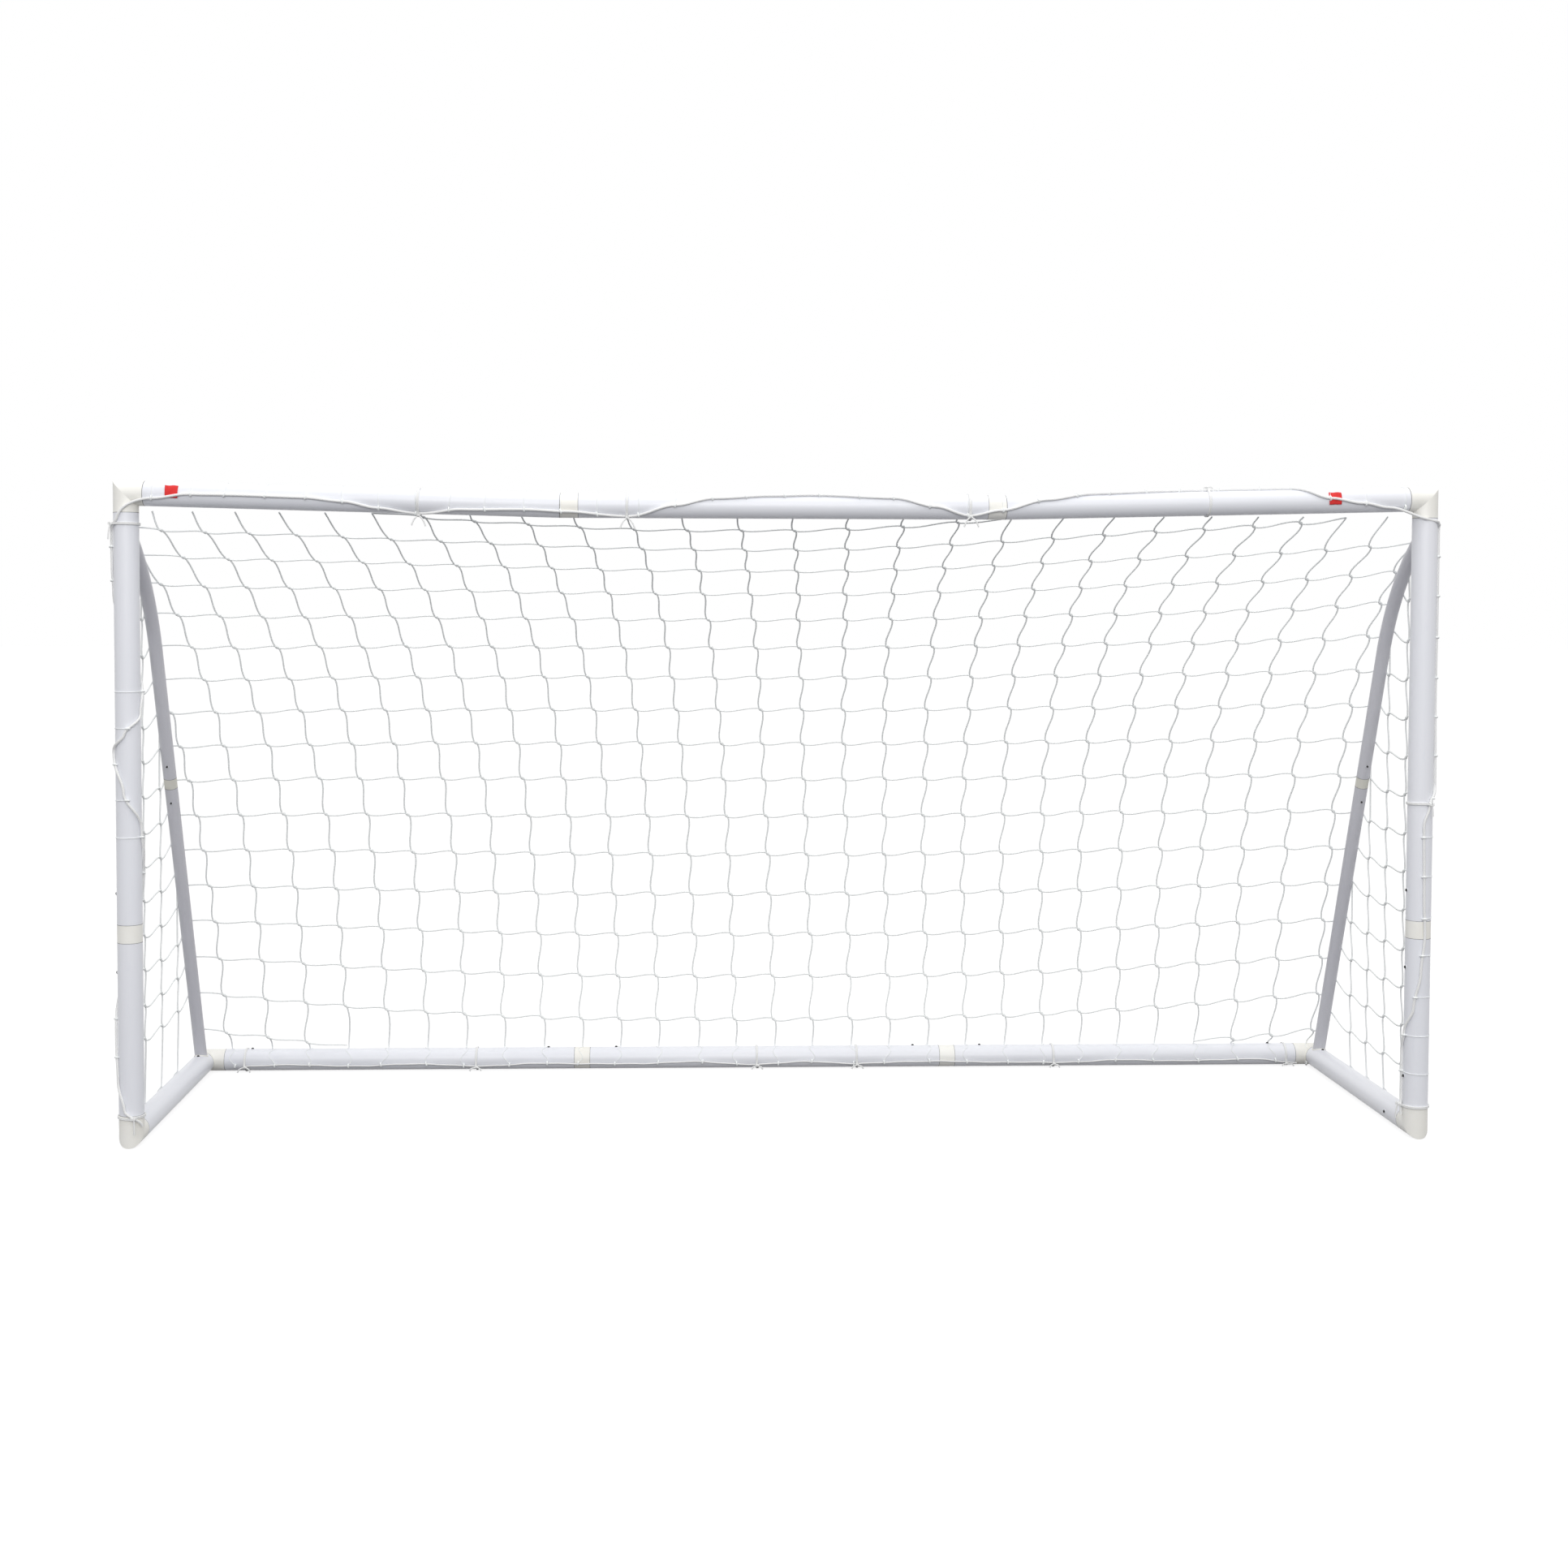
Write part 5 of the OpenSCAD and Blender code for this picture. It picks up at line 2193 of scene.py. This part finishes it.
@dataclass
class Studio:
    """Floor, world, lamps and camera."""

    eye: tuple[float, float, float] = (-0.333, -5.544, 1.494)
    yaw: float = -2.016
    pitch: float = -2.168
    roll: float = -0.158
    lens: float = 42.60
    shift: Pair = (0.0358, -0.0687)
    # Light: the sky's strength, the two lamps' power, and how the floor looks and reflects
    sky: float = 0.71
    overhead: float = 84.0
    front: float = 222.0
    floor_reach: float = 60.0
    floor_seen: Colour = (0.3, 0.3, 0.3, 1.0)
    floor_glow: float = 0.82
    floor_bounce: Colour = (0.17, 0.17, 0.18, 1.0)

    def build(self) -> None:
        """Sets the whole studio up."""
        scene = bpy.context.scene
        scene.view_settings.view_transform = "Standard"
        self._camera()
        self._floor()
        self._world()
        self._lamps()

    def _camera(self) -> None:
        """The camera."""
        data = bpy.data.cameras.new("camera")
        data.sensor_width = 36.0
        data.lens = self.lens
        data.shift_x, data.shift_y = self.shift
        data.clip_end = 200.0
        camera = bpy.data.objects.new("camera", data)
        bpy.context.scene.collection.objects.link(camera)
        turn = (
            Matrix.Rotation(math.radians(self.yaw), 3, "Z")
            @ Matrix.Rotation(math.radians(self.pitch), 3, "X")
            @ Matrix.Rotation(math.radians(self.roll), 3, "Y")
        )
        right, ahead, up = turn.col[0], turn.col[1], turn.col[2]
        frame = Matrix((right, up, -ahead)).transposed().to_4x4()
        frame.translation = self.eye
        camera.matrix_world = frame
        bpy.context.scene.camera = camera

    def _seen(self, g: Graph) -> Value:
        """1 where a ray comes from the camera or a mirror, else 0.

        Args:
            g: The graph that the test goes in.

        Returns:
            The test's result.
        """
        path = g.add("ShaderNodeLightPath")
        seen = g.value(path, "Is Camera Ray")
        for other in ("Is Glossy Ray", "Is Transmission Ray"):
            seen = seen.op("MAXIMUM", g.value(path, other))
        return seen

    def _floor(self) -> None:
        """A plain white floor that keeps soft shadows, and is grey in its bounced light."""
        mesh = bpy.data.meshes.new("floor")
        far = self.floor_reach
        mesh.from_pydata(
            [(-far, -far, 0), (far, -far, 0), (far, far, 0), (-far, far, 0)], [], [(0, 1, 2, 3)]
        )
        floor = link("floor", mesh)
        material = bpy.data.materials.new("floor_white")
        material.use_nodes = True
        g = Graph(material.node_tree)
        g.tree.nodes.clear()
        shaded = g.add("ShaderNodeBsdfDiffuse", inputs={"Color": self.floor_seen})
        glow = g.add("ShaderNodeEmission", inputs={"Strength": self.floor_glow})
        white = g.add("ShaderNodeAddShader", inputs={0: shaded.outputs[0], 1: glow.outputs[0]})
        dim = g.add("ShaderNodeBsdfDiffuse", inputs={"Color": self.floor_bounce})
        both = g.add(
            "ShaderNodeMixShader", inputs={0: self._seen(g), 1: dim.outputs[0], 2: white.outputs[0]}
        )
        g.add("ShaderNodeOutputMaterial", inputs={"Surface": both.outputs[0]})
        mesh.materials.append(material)

    def _world(self) -> None:
        """White to look at, softer as light."""
        world = bpy.data.worlds.new("studio")
        bpy.context.scene.world = world
        world.use_nodes = True
        g = Graph(world.node_tree)
        g.tree.nodes.clear()
        strength = self._seen(g) * (1.0 - self.sky) + self.sky
        light = g.add("ShaderNodeBackground", inputs={"Strength": strength})
        light.inputs["Color"].default_value = (1.0, 1.0, 1.0, 1.0)
        g.add("ShaderNodeOutputWorld", inputs={"Surface": light.outputs[0]})

    def _lamps(self) -> None:
        """A wide softbox overhead and one above the field."""
        self._softbox("overhead", (0.3, -1.0, 4.8), (7.0, 5.0), self.overhead, 0.0)
        self._softbox("front", (-0.4, -7.6, 3.8), (6.0, 3.0), self.front, 68.0)

    @staticmethod
    def _softbox(
        name: str, at: Sequence[float], size: Pair, energy: float, tip: float
    ) -> None:
        """One rectangular lamp.

        Args:
            name: Its name.
            at: Where it hangs.
            size: Its width and height.
            energy: Its power.
            tip: How far it is tipped up from facing straight down, in degrees.
        """
        data = bpy.data.lights.new(name, "AREA")
        data.shape = "RECTANGLE"
        data.size, data.size_y = size
        data.energy = energy
        lamp = bpy.data.objects.new(name, data)
        lamp.location = at
        lamp.rotation_euler = (math.radians(tip), 0, 0)
        bpy.context.scene.collection.objects.link(lamp)


def main() -> None:
    """Builds the goal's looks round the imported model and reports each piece."""
    logging.basicConfig(level=logging.INFO, format="%(name)s: %(message)s")
    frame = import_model()
    plan = Plan.read()
    Studio().build()
    finishes, trees, brace = Finishes(), Trees(), Brace(plan)
    TubeFrame(plan, brace, frame["nodes"], frame["joints"], finishes, trees).build()
    rope = BorderRope(plan, finishes, trees)
    rope.build()
    KnottedNet(plan, brace, NetShape(plan, brace), rope, finishes, trees).build()
    CordTies(plan, rope, finishes, trees).build()
    RedTags(plan, rope, finishes).build()


if __name__ == "__main__":
    main()
